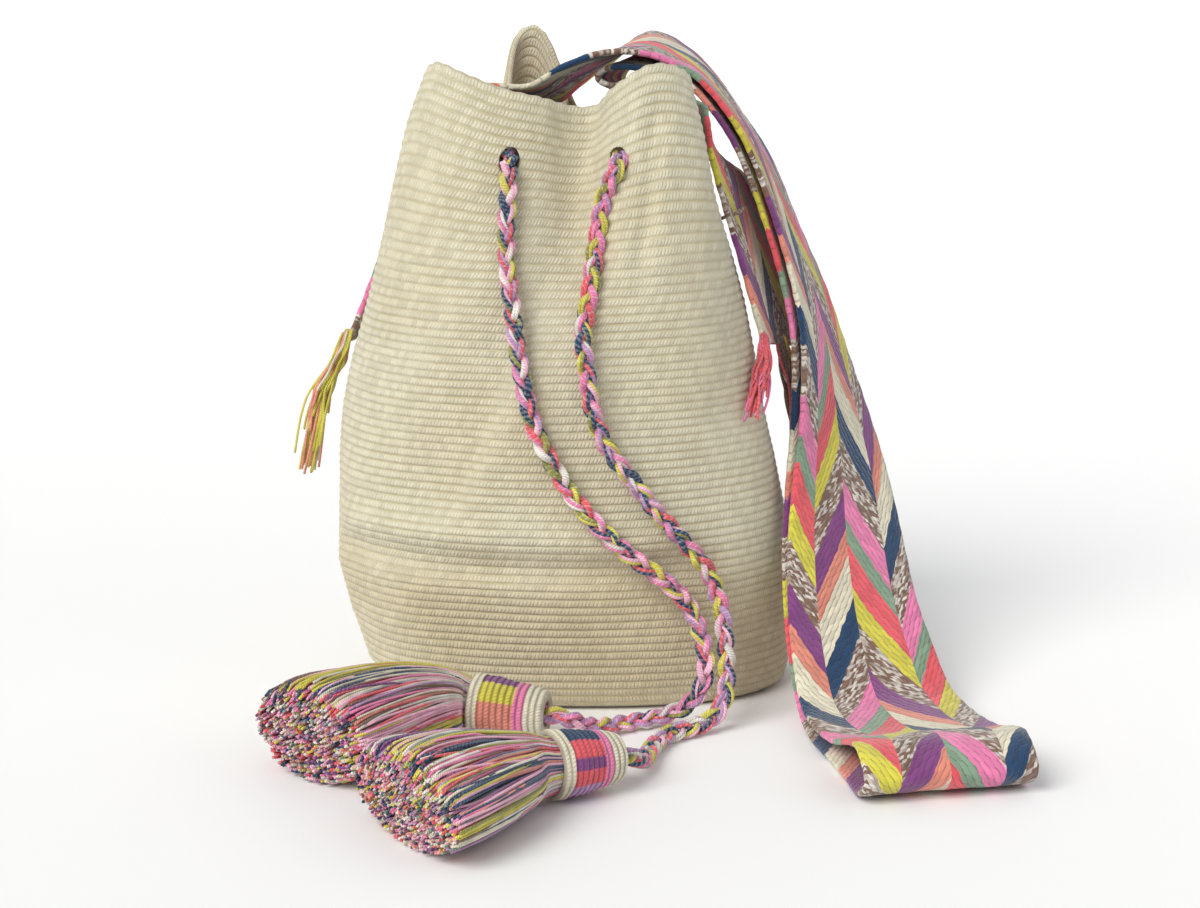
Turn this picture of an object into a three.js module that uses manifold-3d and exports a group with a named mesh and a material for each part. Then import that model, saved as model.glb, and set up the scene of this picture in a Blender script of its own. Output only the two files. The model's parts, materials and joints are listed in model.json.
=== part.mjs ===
// A crocheted bucket bag: a round-based cream body gathered at the mouth by a braided
// drawstring that ends in two tassels, and one long woven strap sewn to the body at both
// ends. The bag stands on a floor; the strap hangs down its right side, lies on the floor,
// folds under itself and comes back up. Millimetres, +Z up, +X to the right, +Y to the
// back, origin on the floor under the bag.
import * as THREE from 'three';
import { LoftGeometry } from 'three/addons/geometries/LoftGeometry.js';
import { mergeVertices } from 'three/addons/utils/BufferGeometryUtils.js';
import Module from 'manifold-3d';

const wasm = await Module();
wasm.setup();

// ---------------------------------------------------------------- driving dimensions
const WALL = 3.4;              // thickness of the crocheted wall
const GAP = 0.4;               // clear space between pieces that touch
const RIM_Z = 288;             // height of the rim where it is gathered in
const AROUND = 72;             // facets around the body
const CORD_D = 9.2;            // braided drawstring
const CORD_HOLE_D = 11.2;      // eyelets that the drawstring passes through
const STRAP_T = 3.6;           // thickness of the woven strap
const THREAD_D = 1.6;          // sewing thread
const CAP_LENGTH = 36;         // crocheted tassel caps
const CAP_R_TOP = 12;
const CAP_R_SKIRT = 15.5;
const CAP_WALL = 2.4;

// Outline of the body by height: left edge, right edge, centre and half depth.
const BODY_LEVELS = [
  // z, left, right, centre y, half depth
  [0, -80, 107, 0, 62],
  [3, -90, 112, 0, 68],
  [12, -100, 114, 0, 73],
  [38, -109, 112.5, 0, 79],
  [64, -115, 112.5, 0, 83],
  [90, -114.5, 110, 0, 81.5],
  [116, -113, 106, 0, 79.5],
  [142, -110, 100.5, 0, 78],
  [167, -105.5, 95.5, 0, 76.5],
  [192, -99.5, 89.5, 1, 74],
  [217, -93, 82, 3, 69],
  [242, -86, 73.5, 7, 62],
  [267, -78, 67, 10, 54],
  [291, -68, 61.5, 12, 47],
  [312, -63, 58, 13, 44],
];

// The gathered mouth in plan: a clover of three lobes, given by the angle on the round
// body that each point comes from, its place at the rim and its rise above RIM_Z.
const MOUTH = [
  // degrees, x, y, rise
  [0, 61, -10, 13],
  [18, 56, 4, 1],
  [36, 40, 13, -1],
  [50, 24, 18, -2],
  [63, 17, 32, -10],
  [77, 9, 46, -10],
  [92, -10, 57, 32],
  [107, -26, 53, 30],
  [121, -30, 38, 4],
  [135, -27, 20, -8],
  [150, -42, 15, -5],
  [166, -57, 8, 0],
  [182, -67, -6, 15],
  [198, -61, -22, 23],
  [216, -46, -32, 18],
  [236, -27, -35, 11],
  [256, -7, -29, 6],
  [272, 12, -16, 1],
  [288, 22, -28, 11],
  [306, 36, -34, 21],
  [324, 48, -31, 23],
  [342, 58, -22, 19],
];
const GATHER_FROM = 0.56;      // share of the height where the lobes begin to form
const RIM_LEVEL = [-3.5, 64.5, 12, 47]; // centre x, half width, centre y, half depth

// ---------------------------------------------------------------- small helpers
const V = (x, y, z) => new THREE.Vector3(x, y, z);
const lerp = (a, b, t) => a + (b - a) * t;
const rad = (d) => (d * Math.PI) / 180;
const smooth = (a, b, t) => {
  const u = Math.min(1, Math.max(0, (t - a) / (b - a)));
  return u * u * (3 - 2 * u);
};

// Catmull-Rom value between the two middle ones of four numbers.
function spline4(p0, p1, p2, p3, t) {
  const a = 2 * p1;
  const b = p2 - p0;
  const c = 2 * p0 - 5 * p1 + 4 * p2 - p3;
  const d = -p0 + 3 * p1 - 3 * p2 + p3;
  return 0.5 * (a + b * t + c * t * t + d * t * t * t);
}

// Row of BODY_LEVELS at height z, without its z.
function level(z) {
  const rows = BODY_LEVELS;
  let i = 0;
  while (i < rows.length - 2 && z > rows[i + 1][0]) i++;
  const t = Math.min(1, Math.max(0, (z - rows[i][0]) / (rows[i + 1][0] - rows[i][0])));
  return [1, 2, 3, 4].map((k) => lerp(rows[i][k], rows[i + 1][k], t));
}

// The mouth row at an angle in degrees: x, y, rise.
function mouth(deg) {
  const n = MOUTH.length;
  const d = ((deg % 360) + 360) % 360;
  let i = 0;
  while (i < n - 1 && d >= MOUTH[i + 1][0]) i++;
  const next = i < n - 1 ? MOUTH[i + 1][0] : 360;
  const t = (d - MOUTH[i][0]) / (next - MOUTH[i][0]);
  const row = (k) => MOUTH[(i + k + n) % n];
  return [1, 2, 3].map((k) => spline4(row(-1)[k], row(0)[k], row(1)[k], row(2)[k], t));
}

// A point of the body's outer surface, at an angle and a share v of the height.
function bodyPoint(deg, v) {
  const z = v * RIM_Z;
  const [left, right, cy, hy] = level(z);
  const m = smooth(GATHER_FROM, 1, v);
  const [mx, my, rise] = mouth(deg);
  const c = Math.cos(rad(deg));
  const s = Math.sin(rad(deg));
  const square = lerp(0.86, 1, smooth(0, 0.5, v));
  const ex = Math.sign(c) * Math.abs(c) ** square;
  const ey = Math.sign(s) * Math.abs(s) ** square;
  const ux = lerp(ex, (mx - RIM_LEVEL[0]) / RIM_LEVEL[1], m);
  const uy = lerp(ey, (my - RIM_LEVEL[2]) / RIM_LEVEL[3], m);
  const hx = (right - left) / 2;
  return V((left + right) / 2 + hx * ux, cy + hy * uy, z + rise * m * m);
}

// Outward normal of the body.
function bodyNormal(deg, v) {
  const e = 0.5;
  const du = bodyPoint(deg + e, v).sub(bodyPoint(deg - e, v));
  const lo = Math.max(0.012, v - 0.012);
  const dv = bodyPoint(deg, Math.min(1, lo + 0.024)).sub(bodyPoint(deg, lo));
  return du.cross(dv).normalize();
}

const offBody = (deg, v, d) => bodyPoint(deg, v).addScaledVector(bodyNormal(deg, v), d);

// The y of the body's front face at x and height z.
function frontY(x, z) {
  const v = z / RIM_Z;
  let a = 180;
  let b = 360;
  for (let i = 0; i < 40; i++) {
    const mid = (a + b) / 2;
    if (bodyPoint(mid, v).x < x) a = mid;
    else b = mid;
  }
  return bodyPoint(a, v).y;
}

// A geometry as a manifold solid, and back.
function solid(geometry) {
  const g = geometry.clone();
  g.deleteAttribute('normal');
  g.deleteAttribute('uv');
  const m = mergeVertices(g, 1e-4);
  const index = m.index ? m.index.array : m.attributes.position.array.map((_, i) => i);
  return new wasm.Manifold(new wasm.Mesh({
    numProp: 3,
    vertProperties: new Float32Array(m.attributes.position.array),
    triVerts: new Uint32Array(index),
  }));
}

function geometryOf(manifold) {
  const mesh = manifold.getMesh();
  const g = new THREE.BufferGeometry();
  g.setAttribute('position', new THREE.BufferAttribute(new Float32Array(mesh.vertProperties), 3));
  g.setIndex(new THREE.BufferAttribute(new Uint32Array(mesh.triVerts), 1));
  g.computeVertexNormals();
  return g;
}

// A round tube along points, by its diameter.
function tube(points, diameter, steps, sides) {
  const shape = new THREE.Shape();
  for (let i = 0; i < sides; i++) {
    const a = (i / sides) * Math.PI * 2;
    const p = [Math.cos(a) * diameter / 2, Math.sin(a) * diameter / 2];
    if (i === 0) shape.moveTo(...p);
    else shape.lineTo(...p);
  }
  const path = new THREE.CatmullRomCurve3(points, false, 'centripetal');
  path.arcLengthDivisions = 1200;
  return new THREE.ExtrudeGeometry(shape, { steps, extrudePath: path, bevelEnabled: false });
}

const group = new THREE.Group();
function add(name, geometry, color, roughness = 0.95) {
  const material = new THREE.MeshStandardMaterial({ color, roughness, metalness: 0 });
  const mesh = new THREE.Mesh(geometry, material);
  mesh.name = name;
  group.add(mesh);
  return mesh;
}

// ---------------------------------------------------------------- bag body
// One crocheted piece: the rings run up the inside from the floor of the bag to the rim
// and down the outside to the flat base. The angle runs clockwise from above, so that the
// faces of the inside look in and those of the outside look out.
const heights = [0.012, 0.045, 0.13, 0.22, 0.33, 0.45, 0.57, 0.66, 0.74, 0.81, 0.865, 0.91];
heights.push(0.95, 0.98, 1);
const around = Array.from({ length: AROUND }, (_, i) => 360 - (i * 360) / AROUND);
const inner = heights.slice(1).map((v) => around.map((a) => {
  const p = offBody(a, v, -WALL);
  p.z = Math.max(p.z, WALL + 6 * v);
  return p;
}));
const floorRing = around.map((a) => {
  const p = offBody(a, 0.04, -WALL - 4);
  return V(p.x, p.y, WALL);
});
// The floor inside rises a little to its middle, where the first rounds were made.
const floorMiddle = [0.1, 0.55].map((share) => floorRing.map((p) => V(
  lerp(10, p.x, share),
  lerp(0, p.y, share),
  WALL + 1.6 * (1 - share),
)));
const outer = heights.map((v) => around.map((a) => bodyPoint(a, v))).reverse();
const baseRing = around.map((a) => bodyPoint(a, 0));
const bodyShell = new LoftGeometry([...floorMiddle, floorRing, ...inner, ...outer, baseRing], {
  capStart: true,
  capEnd: true,
});

// ---------------------------------------------------------------- drawstring
// One braided cord from tassel to tassel. It comes up over the front of the bag, goes in
// through an eyelet in the front of the left lobe, out through the back of that lobe,
// across the valley under the strap, through the back lobe, across the next valley,
// through the right lobe and out of its front again.
const CORD_R = CORD_D / 2;
const onFront = (x, z, clear) => V(x, frontY(x, z) - CORD_R - clear, z);
const BACK_CAP_TOP = V(-7, -123, 15);
const BACK_CAP_SKIRT = V(-43, -113, 16);
const FRONT_CAP_TOP = V(25, -189, 15);
const FRONT_CAP_SKIRT = V(-8, -210, 17);
const backEnd = BACK_CAP_TOP.clone().lerp(BACK_CAP_SKIRT, 0.16);
const frontEnd = FRONT_CAP_TOP.clone().lerp(FRONT_CAP_SKIRT, 0.16);
const cordPoints = [
  backEnd,
  BACK_CAP_TOP,
  V(2, -124.5, 13.4),
  V(14, -117, 7.5),
  V(30, -103.5, 5),
  V(48, -95, 6),
  V(60, -93, 11),
  V(67, -92.5, 22),
  V(67.5, -91.5, 36),
  onFront(61, 54, 3),
  onFront(52, 66, 3),
  onFront(41.5, 75, 3),
  onFront(31, 83, 3),
  onFront(21, 92.5, 2.5),
  onFront(9.5, 105, 2),
  onFront(-0.5, 119, 2),
  onFront(-8, 132, 1.5),
  onFront(-15, 148, 1.2),
  onFront(-20, 171, 1),
  onFront(-24, 198, 1),
  onFront(-27, 226, 1),
  onFront(-26.5, 248, 1.4),
  V(-26, -48, 262),
  V(-26, -38, 268),
  V(-27.5, -26, 269),
  V(-29, -12, 269),
  V(-27.5, 2, 268),
  V(-25, 12, 267),
  V(-28, 21, 266),
  V(-34, 29, 265.5),
  V(-35, 37, 265.5),
  V(-29, 43, 266),
  V(-18, 45, 267),
  V(-5, 44, 267),
  V(7, 42, 266),
  V(18, 40, 265),
  V(27, 35, 265),
  V(28.5, 27, 265),
  V(24, 18, 266),
  V(20, 9, 267),
  V(21, -3, 268),
  V(25, -15, 268),
  V(28, -26, 269),
  V(27.5, -37, 268),
  V(24.5, -48, 261),
  onFront(20, 251, 1.4),
  onFront(16, 230, 1),
  onFront(12.8, 208, 1),
  onFront(9.6, 186, 1),
  onFront(11.5, 168, 1.2),
  onFront(14, 152, 1.4),
  onFront(19, 138, 1.6),
  onFront(26.5, 126, 2),
  onFront(34.5, 116, 2.5),
  onFront(43.5, 104, 3),
  onFront(52, 94, 3),
  onFront(60.5, 84, 4),
  onFront(69, 73, 5),
  onFront(74.5, 59, 8),
  V(77, -87, 45),
  V(78, -92, 30),
  V(77, -98, 16),
  V(71, -104, 7.5),
  V(60, -112, 5),
  V(48, -125, 5),
  V(41, -146, 5.2),
  V(37.5, -168, 7.5),
  V(32, -183.5, 13),
  FRONT_CAP_TOP,
  frontEnd,
];
const cord = tube(cordPoints, CORD_D, 80, 8);
const cordHole = tube(cordPoints, CORD_HOLE_D, 80, 8);

// ---------------------------------------------------------------- strap
// One woven band. Its route is a list of cross lines from one end to the other, each with
// seven points from the near edge to the far edge. The two ends lie on the body, between
// them the band is free.
const LANES = [0, 1, 2, 3, 4, 5, 6].map((k) => k / 6);
const FAR = LANES.length - 1;
const MID = FAR / 2;
const onBody = (near, far, v, d) => LANES.map((w) => offBody(lerp(near, far, w), v, d));
const free = (n, f) => LANES.map((w) => V(...n).lerp(V(...f), w));
const ON = STRAP_T / 2 + GAP;

// Left end on the body, over the rim, the arch over the mouth and the hanging outer run.
const leftEnd = [
  onBody(171, 130, 0.585, ON + 3),
  onBody(170, 132, 0.66, ON + 1),
  onBody(169, 134, 0.74, ON + 0.6),
  onBody(168, 137, 0.82, ON + 0.6),
  onBody(168, 139, 0.89, ON + 0.8),
  onBody(168, 140, 0.945, ON + 1.2),
];
const overRim = [
  free([-54, 12, 294.5], [-30, 29, 288.5]),
  free([-41, 5, 298], [-19, 36, 287]),
];
const hanging = [
  free([-18, 2, 298], [-4, 43, 287]),
  free([-2, 0, 307], [9, 51, 296]),
  free([17, 0, 314], [24, 60, 306]),
  free([37, 1, 314], [43, 65, 319]),
  free([54, 4, 308], [61, 68, 312]),
  free([68, 6, 299], [76, 70, 298]),
  free([84, 8, 279], [91, 72, 277]),
  free([95, 8, 257], [105, 72, 255]),
  free([106.5, 4, 225], [120, 70, 219]),
  free([114.5, 0, 196], [134, 67, 188]),
  free([118.5, -5, 170], [144, 59, 160]),
  free([117.5, -14, 134], [155, 45, 127]),
  free([114, -25, 109], [163, 24, 100]),
  free([110.5, -40, 81], [169, -2, 73]),
  free([109.5, -56, 56], [174, -29, 48]),
  free([110.5, -72, 34], [180, -49, 30]),
  free([113.5, -94, 13], [187, -71, 13]),
];
const onFloor = [
  free([117.5, -122, 9], [195, -100, 9]),
  free([124, -154, 11.5], [203, -131, 11.5]),
  free([129, -182, 19.5], [208, -160, 19.5]),
];
const fold = [
  free([131.5, -203, 22.5], [209.5, -183, 22.5]),
  free([134, -217, 12.5], [212, -197, 12.5]),
  free([131.5, -206, 3.4], [209.5, -186, 3.4]),
];

// Moves a cross line along the band's own normal there, away from the outer face.
function shifted(lines, i, d) {
  const before = lines[Math.max(0, i - 1)];
  const after = lines[Math.min(lines.length - 1, i + 1)];
  const along = after[MID].clone().sub(before[MID]);
  const across = lines[i][FAR].clone().sub(lines[i][0]);
  const n = across.cross(along).normalize();
  return lines[i].map((p) => p.clone().addScaledVector(n, d));
}

const down = [...hanging, ...onFloor];
const under = [
  free([128, -180, 2.7], [206, -158, 2.7]),
  free([123, -152, 2.7], [202, -129, 2.7]),
  free([116.5, -120, 2.9], [194, -97, 2.9]),
];
const INNER_STEP = 5.2;          // the returning run lies this far behind the outer one
const rising = [];
for (let i = 16; i >= 4; i--) rising.push(shifted(down, i, INNER_STEP));
const turn = [
  free([33, 6, 306.5], [42, 62, 311]),
  free([21, 7, 306], [33, 58, 304]),
  free([16, 8, 301.5], [29, 53, 298]),
  free([23, 9, 297.5], [31, 48, 293]),
  free([42, 9, 298], [36, 40, 290]),
];
const nearOn = (near, v, d, far) => LANES.map((w) => offBody(near, v, d).lerp(V(...far), w));
const rightEnd = [
  onBody(11, 44, 0.985, ON + 3.6),
  onBody(5, 44, 0.95, ON + 2.9),
  nearOn(4, 0.89, ON + 0.6, [86, 54, 252]),
  nearOn(1, 0.82, ON + 0.6, [100, 56, 230]),
  nearOn(-3, 0.74, ON + 0.8, [110, 55, 206]),
  nearOn(-6, 0.66, ON + 1.5, [117, 52, 181]),
  nearOn(-8, 0.595, ON + 3, [121, 48, 161]),
];
const route = [...leftEnd, ...overRim, ...down, ...fold, ...under, ...rising, ...turn, ...rightEnd];

const STRAP_STEPS = 100;
const lanes = LANES.map((_, k) => new THREE.CatmullRomCurve3(route.map((r) => r[k]), false, 'catmullrom', 0.5));
const strapLine = (t) => lanes.map((c) => c.getPoint(t));
const strapSections = [];
for (let i = 0; i <= STRAP_STEPS; i++) {
  const t = i / STRAP_STEPS;
  const p = strapLine(t);
  const e = 0.002;
  const before = strapLine(Math.max(0, t - e));
  const after = strapLine(Math.min(1, t + e));
  const normals = p.map((_, k) => {
    const along = after[k].clone().sub(before[k]);
    const across = p[Math.min(FAR, k + 1)].clone().sub(p[Math.max(0, k - 1)]);
    return along.cross(across).normalize();
  });
  const up = p.map((q, k) => q.clone().addScaledVector(normals[k], STRAP_T / 2));
  const dn = p.map((q, k) => q.clone().addScaledVector(normals[k], -STRAP_T / 2));
  strapSections.push([...dn, ...up.reverse()]);
}
const strapBand = new LoftGeometry(strapSections, { capStart: true, capEnd: true });

// ---------------------------------------------------------------- fringe
// The strap's own warp threads, left loose past both ends in knotted bunches. Each bunch
// starts inside the band's end and is one piece with it.
const bunch = (points, d) => solid(tube(points.map((p) => V(...p)), d, 6, 6));
const endLeft = LANES.map((_, k) => route[0][k]);
const endRight = LANES.map((_, k) => route[route.length - 1][k]);
function fringe(end, lane, inwards, drops, d) {
  const start = end[lane];
  const p0 = [start.x, start.y, start.z + inwards];
  return bunch([p0, ...drops.map((q) => [start.x + q[0], start.y + q[1], start.z + q[2]])], d);
}
const bunches = [
  fringe(endLeft, 0, 5, [[-4, -3, -8], [-11, -6, -20], [-15, -8, -34], [-21, -10, -66]], 9),
  fringe(endLeft, 2, 5, [[-3, 2, -8], [-6, 3, -24], [-9, 4, -48]], 6),
  fringe(endLeft, 3, 5, [[-2, 3, -8], [-4, 5, -24], [-6, 7, -44]], 6),
  fringe(endLeft, 5, 5, [[-1, 3, -8], [-2, 6, -24], [-2, 8, -46]], 6),
  fringe(endRight, 0, 5, [[2, -7, -8], [-1, -17, -17], [-4, -27, -32]], 6),
  fringe(endRight, 2, 5, [[4, 1, -10], [8, 2, -30], [12, 3, -66]], 6),
  fringe(endRight, 3, 5, [[4, 1, -10], [7, 3, -28], [10, 4, -56]], 6),
  fringe(endRight, 5, 5, [[3, 2, -10], [6, 5, -26], [9, 6, -46]], 6),
];
let strapSolid = solid(strapBand);
for (const b of bunches) strapSolid = strapSolid.add(b);

// ---------------------------------------------------------------- sewing threads
// A running stitch across each strap end fastens it to the wall: the thread goes over the
// band's face, down through band and wall, along the inside and back out.
const STITCHES = 3;
const OUT = STRAP_T + GAP + THREAD_D / 2 + 1.2;
const IN = -WALL - THREAD_D / 2 - 1.4;
function stitchPath(near, far, v, extra, extraFar = extra) {
  const points = [];
  const spans = STITCHES * 2 - 1;
  for (let i = 0; i < spans; i++) {
    const side = i % 2 === 0 ? OUT + lerp(extra, extraFar, i / (spans - 1)) : IN;
    const a = lerp(near, far, (i + 0.12) / spans);
    const b = lerp(near, far, (i + 0.88) / spans);
    points.push(offBody(a, v, side), offBody((a + b) / 2, v, side), offBody(b, v, side));
  }
  return points;
}
const leftStitch = stitchPath(164, 142, 0.8, 0);
const rightStitch = stitchPath(0, 13.5, 0.8, 2, 10);
const stitchHoles = [leftStitch, rightStitch].map((p) => solid(tube(p, THREAD_D + 1.4, 64, 6)));
for (const h of stitchHoles) strapSolid = strapSolid.subtract(h);

// ---------------------------------------------------------------- eyelets
// The six eyelets lie where the drawstring passes through the wall.
let bodySolid = solid(bodyShell).subtract(solid(cordHole));
for (const h of stitchHoles) bodySolid = bodySolid.subtract(h);

// ---------------------------------------------------------------- tassels
// Each cap is a small crocheted cup around the top of the tassel, with a hole at its top
// for the cord. The skirt is a bundle of cut yarns whose neck is tied inside the cap.
function capGeometry() {
  const r1 = CAP_R_TOP;
  const r2 = CAP_R_SKIRT;
  const hole = CORD_HOLE_D / 2 + 0.5;
  const profile = [
    [hole, 0],
    [r1 - 3, 0],
    [r1 - 0.8, 1],
    [r1, 3.2],
    [lerp(r1, r2, 0.5), CAP_LENGTH * 0.42],
    [r2, CAP_LENGTH * 0.72],
    [r2, CAP_LENGTH],
    [r2 - CAP_WALL, CAP_LENGTH],
    [r2 - CAP_WALL, CAP_LENGTH * 0.72],
    [lerp(r1, r2, 0.5) - CAP_WALL, CAP_LENGTH * 0.42],
    [r1 - CAP_WALL, 3.6],
    [hole, 2.6],
    [hole, 0],
  ].map(([r, y]) => new THREE.Vector2(r, y));
  return new THREE.LatheGeometry(profile, 22);
}

function alongAxis(mesh, from, to) {
  const dir = to.clone().sub(from).normalize();
  mesh.position.copy(from);
  mesh.quaternion.setFromUnitVectors(V(0, 1, 0), dir);
}

// The skirt's cross sections along its bent middle line: place, heading, half width,
// half height. The heading turns from the cap's axis to the way the yarns fan out.
function skirtGeometry(capTop, capSkirt, stations) {
  const axis = capSkirt.clone().sub(capTop).normalize();
  const sections = [];
  const ring = (centre, dir, hw, hh, square) => {
    const side = V(0, 0, 1).cross(dir).normalize();
    const up = dir.clone().cross(side).normalize();
    return Array.from({ length: 24 }, (_, i) => {
      const a = (i / 24) * Math.PI * 2;
      const c = Math.sign(Math.cos(a)) * Math.abs(Math.cos(a)) ** square;
      const s = Math.sign(Math.sin(a)) * Math.abs(Math.sin(a)) ** square;
      const p = centre.clone().addScaledVector(side, c * hw).addScaledVector(up, s * hh);
      p.z = Math.max(p.z, 0.3);
      return p;
    });
  };
  const neck = CAP_R_TOP - CAP_WALL - GAP;
  const flare = CAP_R_SKIRT - CAP_WALL - GAP;
  const at = (d) => capTop.clone().addScaledVector(axis, d);
  sections.push(ring(at(CAP_LENGTH * 0.28), axis, neck * 0.8, neck * 0.8, 1));
  sections.push(ring(at(CAP_LENGTH * 0.34), axis, neck * 0.8, neck * 0.8, 1));
  sections.push(ring(at(CAP_LENGTH * 0.44), axis, neck * 0.8, neck * 0.8, 1));
  sections.push(ring(at(CAP_LENGTH * 0.72), axis, flare, flare, 1));
  sections.push(ring(at(CAP_LENGTH + 1), axis, flare, flare, 1));
  for (const [x, y, z, dx, dy, hw, hh] of stations) {
    sections.push(ring(V(x, y, z), V(dx, dy, 0).normalize(), hw, hh, 0.86));
  }
  return new LoftGeometry(sections, { capStart: true, capEnd: true });
}

const backSkirt = skirtGeometry(BACK_CAP_TOP, BACK_CAP_SKIRT, [
  // x, y, z, heading x, heading y, half width, half height
  [-50, -115, 18, -1, -0.15, 17, 16],
  [-62, -122, 20, -1, -0.5, 24, 19],
  [-80, -139, 22, -0.85, -0.75, 31, 22],
  [-98, -161, 23, -0.8, -0.8, 36, 23.5],
  [-110, -176, 23, -0.78, -0.8, 38, 23],
  [-115, -182, 22, -0.78, -0.8, 36, 20],
]);
const frontSkirt = skirtGeometry(FRONT_CAP_TOP, FRONT_CAP_SKIRT, [
  [-14, -214, 18, -1, -0.7, 17, 16],
  [-23, -223, 19, -1, -0.9, 25, 18],
  [-38, -239, 21, -0.9, -0.75, 36, 21],
  [-52, -254, 21.5, -0.88, -0.6, 44, 22],
  [-62, -264, 21, -0.86, -0.52, 48, 21],
  [-66, -268, 19, -0.86, -0.52, 46, 18],
]);

// Thread wound round the neck of the skirt inside the cap.
function bindingGeometry() {
  const r = (CAP_R_TOP - CAP_WALL - GAP) * 0.8 + 0.3;
  const at = CAP_LENGTH * 0.39;
  const profile = [[0, -1.6], [0.9, -1.6], [1.3, -0.8], [1.3, 0.8], [0.9, 1.6], [0, 1.6], [0, -1.6]];
  return new THREE.LatheGeometry(profile.map(([x, y]) => new THREE.Vector2(r + x, at + y)), 18);
}

// ---------------------------------------------------------------- the object
add('bag_body', geometryOf(bodySolid), 0xe9e0c2);
add('drawstring', cord, 0xb56f8f);
add('strap', geometryOf(strapSolid), 0xc8786f);
add('strap_thread_left', tube(leftStitch, THREAD_D, 64, 5), 0x7d5a4a);
add('strap_thread_right', tube(rightStitch, THREAD_D, 64, 5), 0x7d5a4a);
alongAxis(add('tassel_cap_back', capGeometry(), 0xd9a6b8), BACK_CAP_TOP, BACK_CAP_SKIRT);
alongAxis(add('tassel_cap_front', capGeometry(), 0xd98a8a), FRONT_CAP_TOP, FRONT_CAP_SKIRT);
alongAxis(add('tassel_binding_back', bindingGeometry(), 0xd8d0b4), BACK_CAP_TOP, BACK_CAP_SKIRT);
alongAxis(add('tassel_binding_front', bindingGeometry(), 0xd8d0b4), FRONT_CAP_TOP, FRONT_CAP_SKIRT);
add('tassel_skirt_back', backSkirt, 0xb06a7a);
add('tassel_skirt_front', frontSkirt, 0xb87484);

export default group;
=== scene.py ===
# %% [markdown]
# # A crocheted bucket bag with a plaited drawstring and a woven strap
#
# The bag is made of yarn in four different ways: the body is crocheted in rounds, the
# drawstring is plaited, the strap is woven on the slant, and the tassels are cut bundles.
# Each way of working the yarn gets its own way of building here, because what the eye
# reads as "handmade" is the path of the yarn and not the outline of the piece.
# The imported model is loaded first, since every soft piece is laid into its solid.

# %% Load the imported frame
import json
import math
from functools import partial
import bpy
import numpy as np
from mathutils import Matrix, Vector
from mathutils.bvhtree import BVHTree

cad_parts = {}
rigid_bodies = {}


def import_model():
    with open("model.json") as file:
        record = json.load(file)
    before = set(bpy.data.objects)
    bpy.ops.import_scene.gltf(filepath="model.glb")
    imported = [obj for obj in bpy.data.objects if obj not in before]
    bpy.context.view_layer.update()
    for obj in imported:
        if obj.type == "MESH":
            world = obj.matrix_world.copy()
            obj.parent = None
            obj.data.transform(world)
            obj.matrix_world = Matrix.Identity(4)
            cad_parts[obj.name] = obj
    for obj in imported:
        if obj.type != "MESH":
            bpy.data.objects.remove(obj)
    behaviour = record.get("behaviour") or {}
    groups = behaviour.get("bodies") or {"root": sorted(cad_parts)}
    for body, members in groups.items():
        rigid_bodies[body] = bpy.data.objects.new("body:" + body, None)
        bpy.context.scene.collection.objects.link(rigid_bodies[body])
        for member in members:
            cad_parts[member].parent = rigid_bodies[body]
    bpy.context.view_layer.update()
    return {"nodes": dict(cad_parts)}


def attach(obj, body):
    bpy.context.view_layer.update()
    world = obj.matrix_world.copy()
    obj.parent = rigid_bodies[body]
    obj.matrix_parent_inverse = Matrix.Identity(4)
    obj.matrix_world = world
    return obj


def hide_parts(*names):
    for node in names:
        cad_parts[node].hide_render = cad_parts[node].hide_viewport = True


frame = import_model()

MM = 0.001
print("nodes:", ", ".join(sorted(frame["nodes"])))

# %% [markdown]
# ## Camera
#
# A short telephoto lens a step and a half away, held a little above the bag's mouth and
# tipped down by twelve degrees, keeps the body's sides nearly upright and still shows the
# tassels lying on the floor in front. It could be aimed with a tracking constraint, but a
# plain rotation is easier to read and to change.

# %% Camera
CAMERA_PLACE = (0.0175, -1.475, 0.420)
CAMERA_DIP = 11.72            # degrees below level
camera_data = bpy.data.cameras.new("camera")
camera_data.lens = 90
camera_data.sensor_width = 36
camera = bpy.data.objects.new("camera", camera_data)
camera.location = CAMERA_PLACE
camera.rotation_euler = (math.radians(90 - CAMERA_DIP), 0, 0)
bpy.context.scene.collection.objects.link(camera)
bpy.context.scene.camera = camera
print("camera at", tuple(round(c, 3) for c in camera.location))

# %% [markdown]
# ## Smooth lines through a few points
#
# Cords, strap lanes and yarns are all smooth lines through a handful of places. A Blender
# curve object could draw them, but the plait and the weave need the line's own points to
# build on, so two small spline helpers work on plain arrays. The first spaces its knots by
# distance, which keeps a cord from overshooting in tight turns. The second takes evenly
# spaced knots and suits the strap, whose seven lanes must stay in step.

# %% Spline helpers
def unit(v):
    return v / np.maximum(np.linalg.norm(v, axis=-1, keepdims=True), 1e-12)


def smooth(a, b, t):
    u = np.clip((np.asarray(t, float) - a) / (b - a), 0, 1)
    return u * u * (3 - 2 * u)


def mix(a, b, t):
    return a + (b - a) * t


def hermite(p1, p2, t1, t2, u):
    return ((2 * u**3 - 3 * u**2 + 1) * p1 + (u**3 - 2 * u**2 + u) * t1
            + (3 * u**2 - 2 * u**3) * p2 + (u**3 - u**2) * t2)


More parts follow.
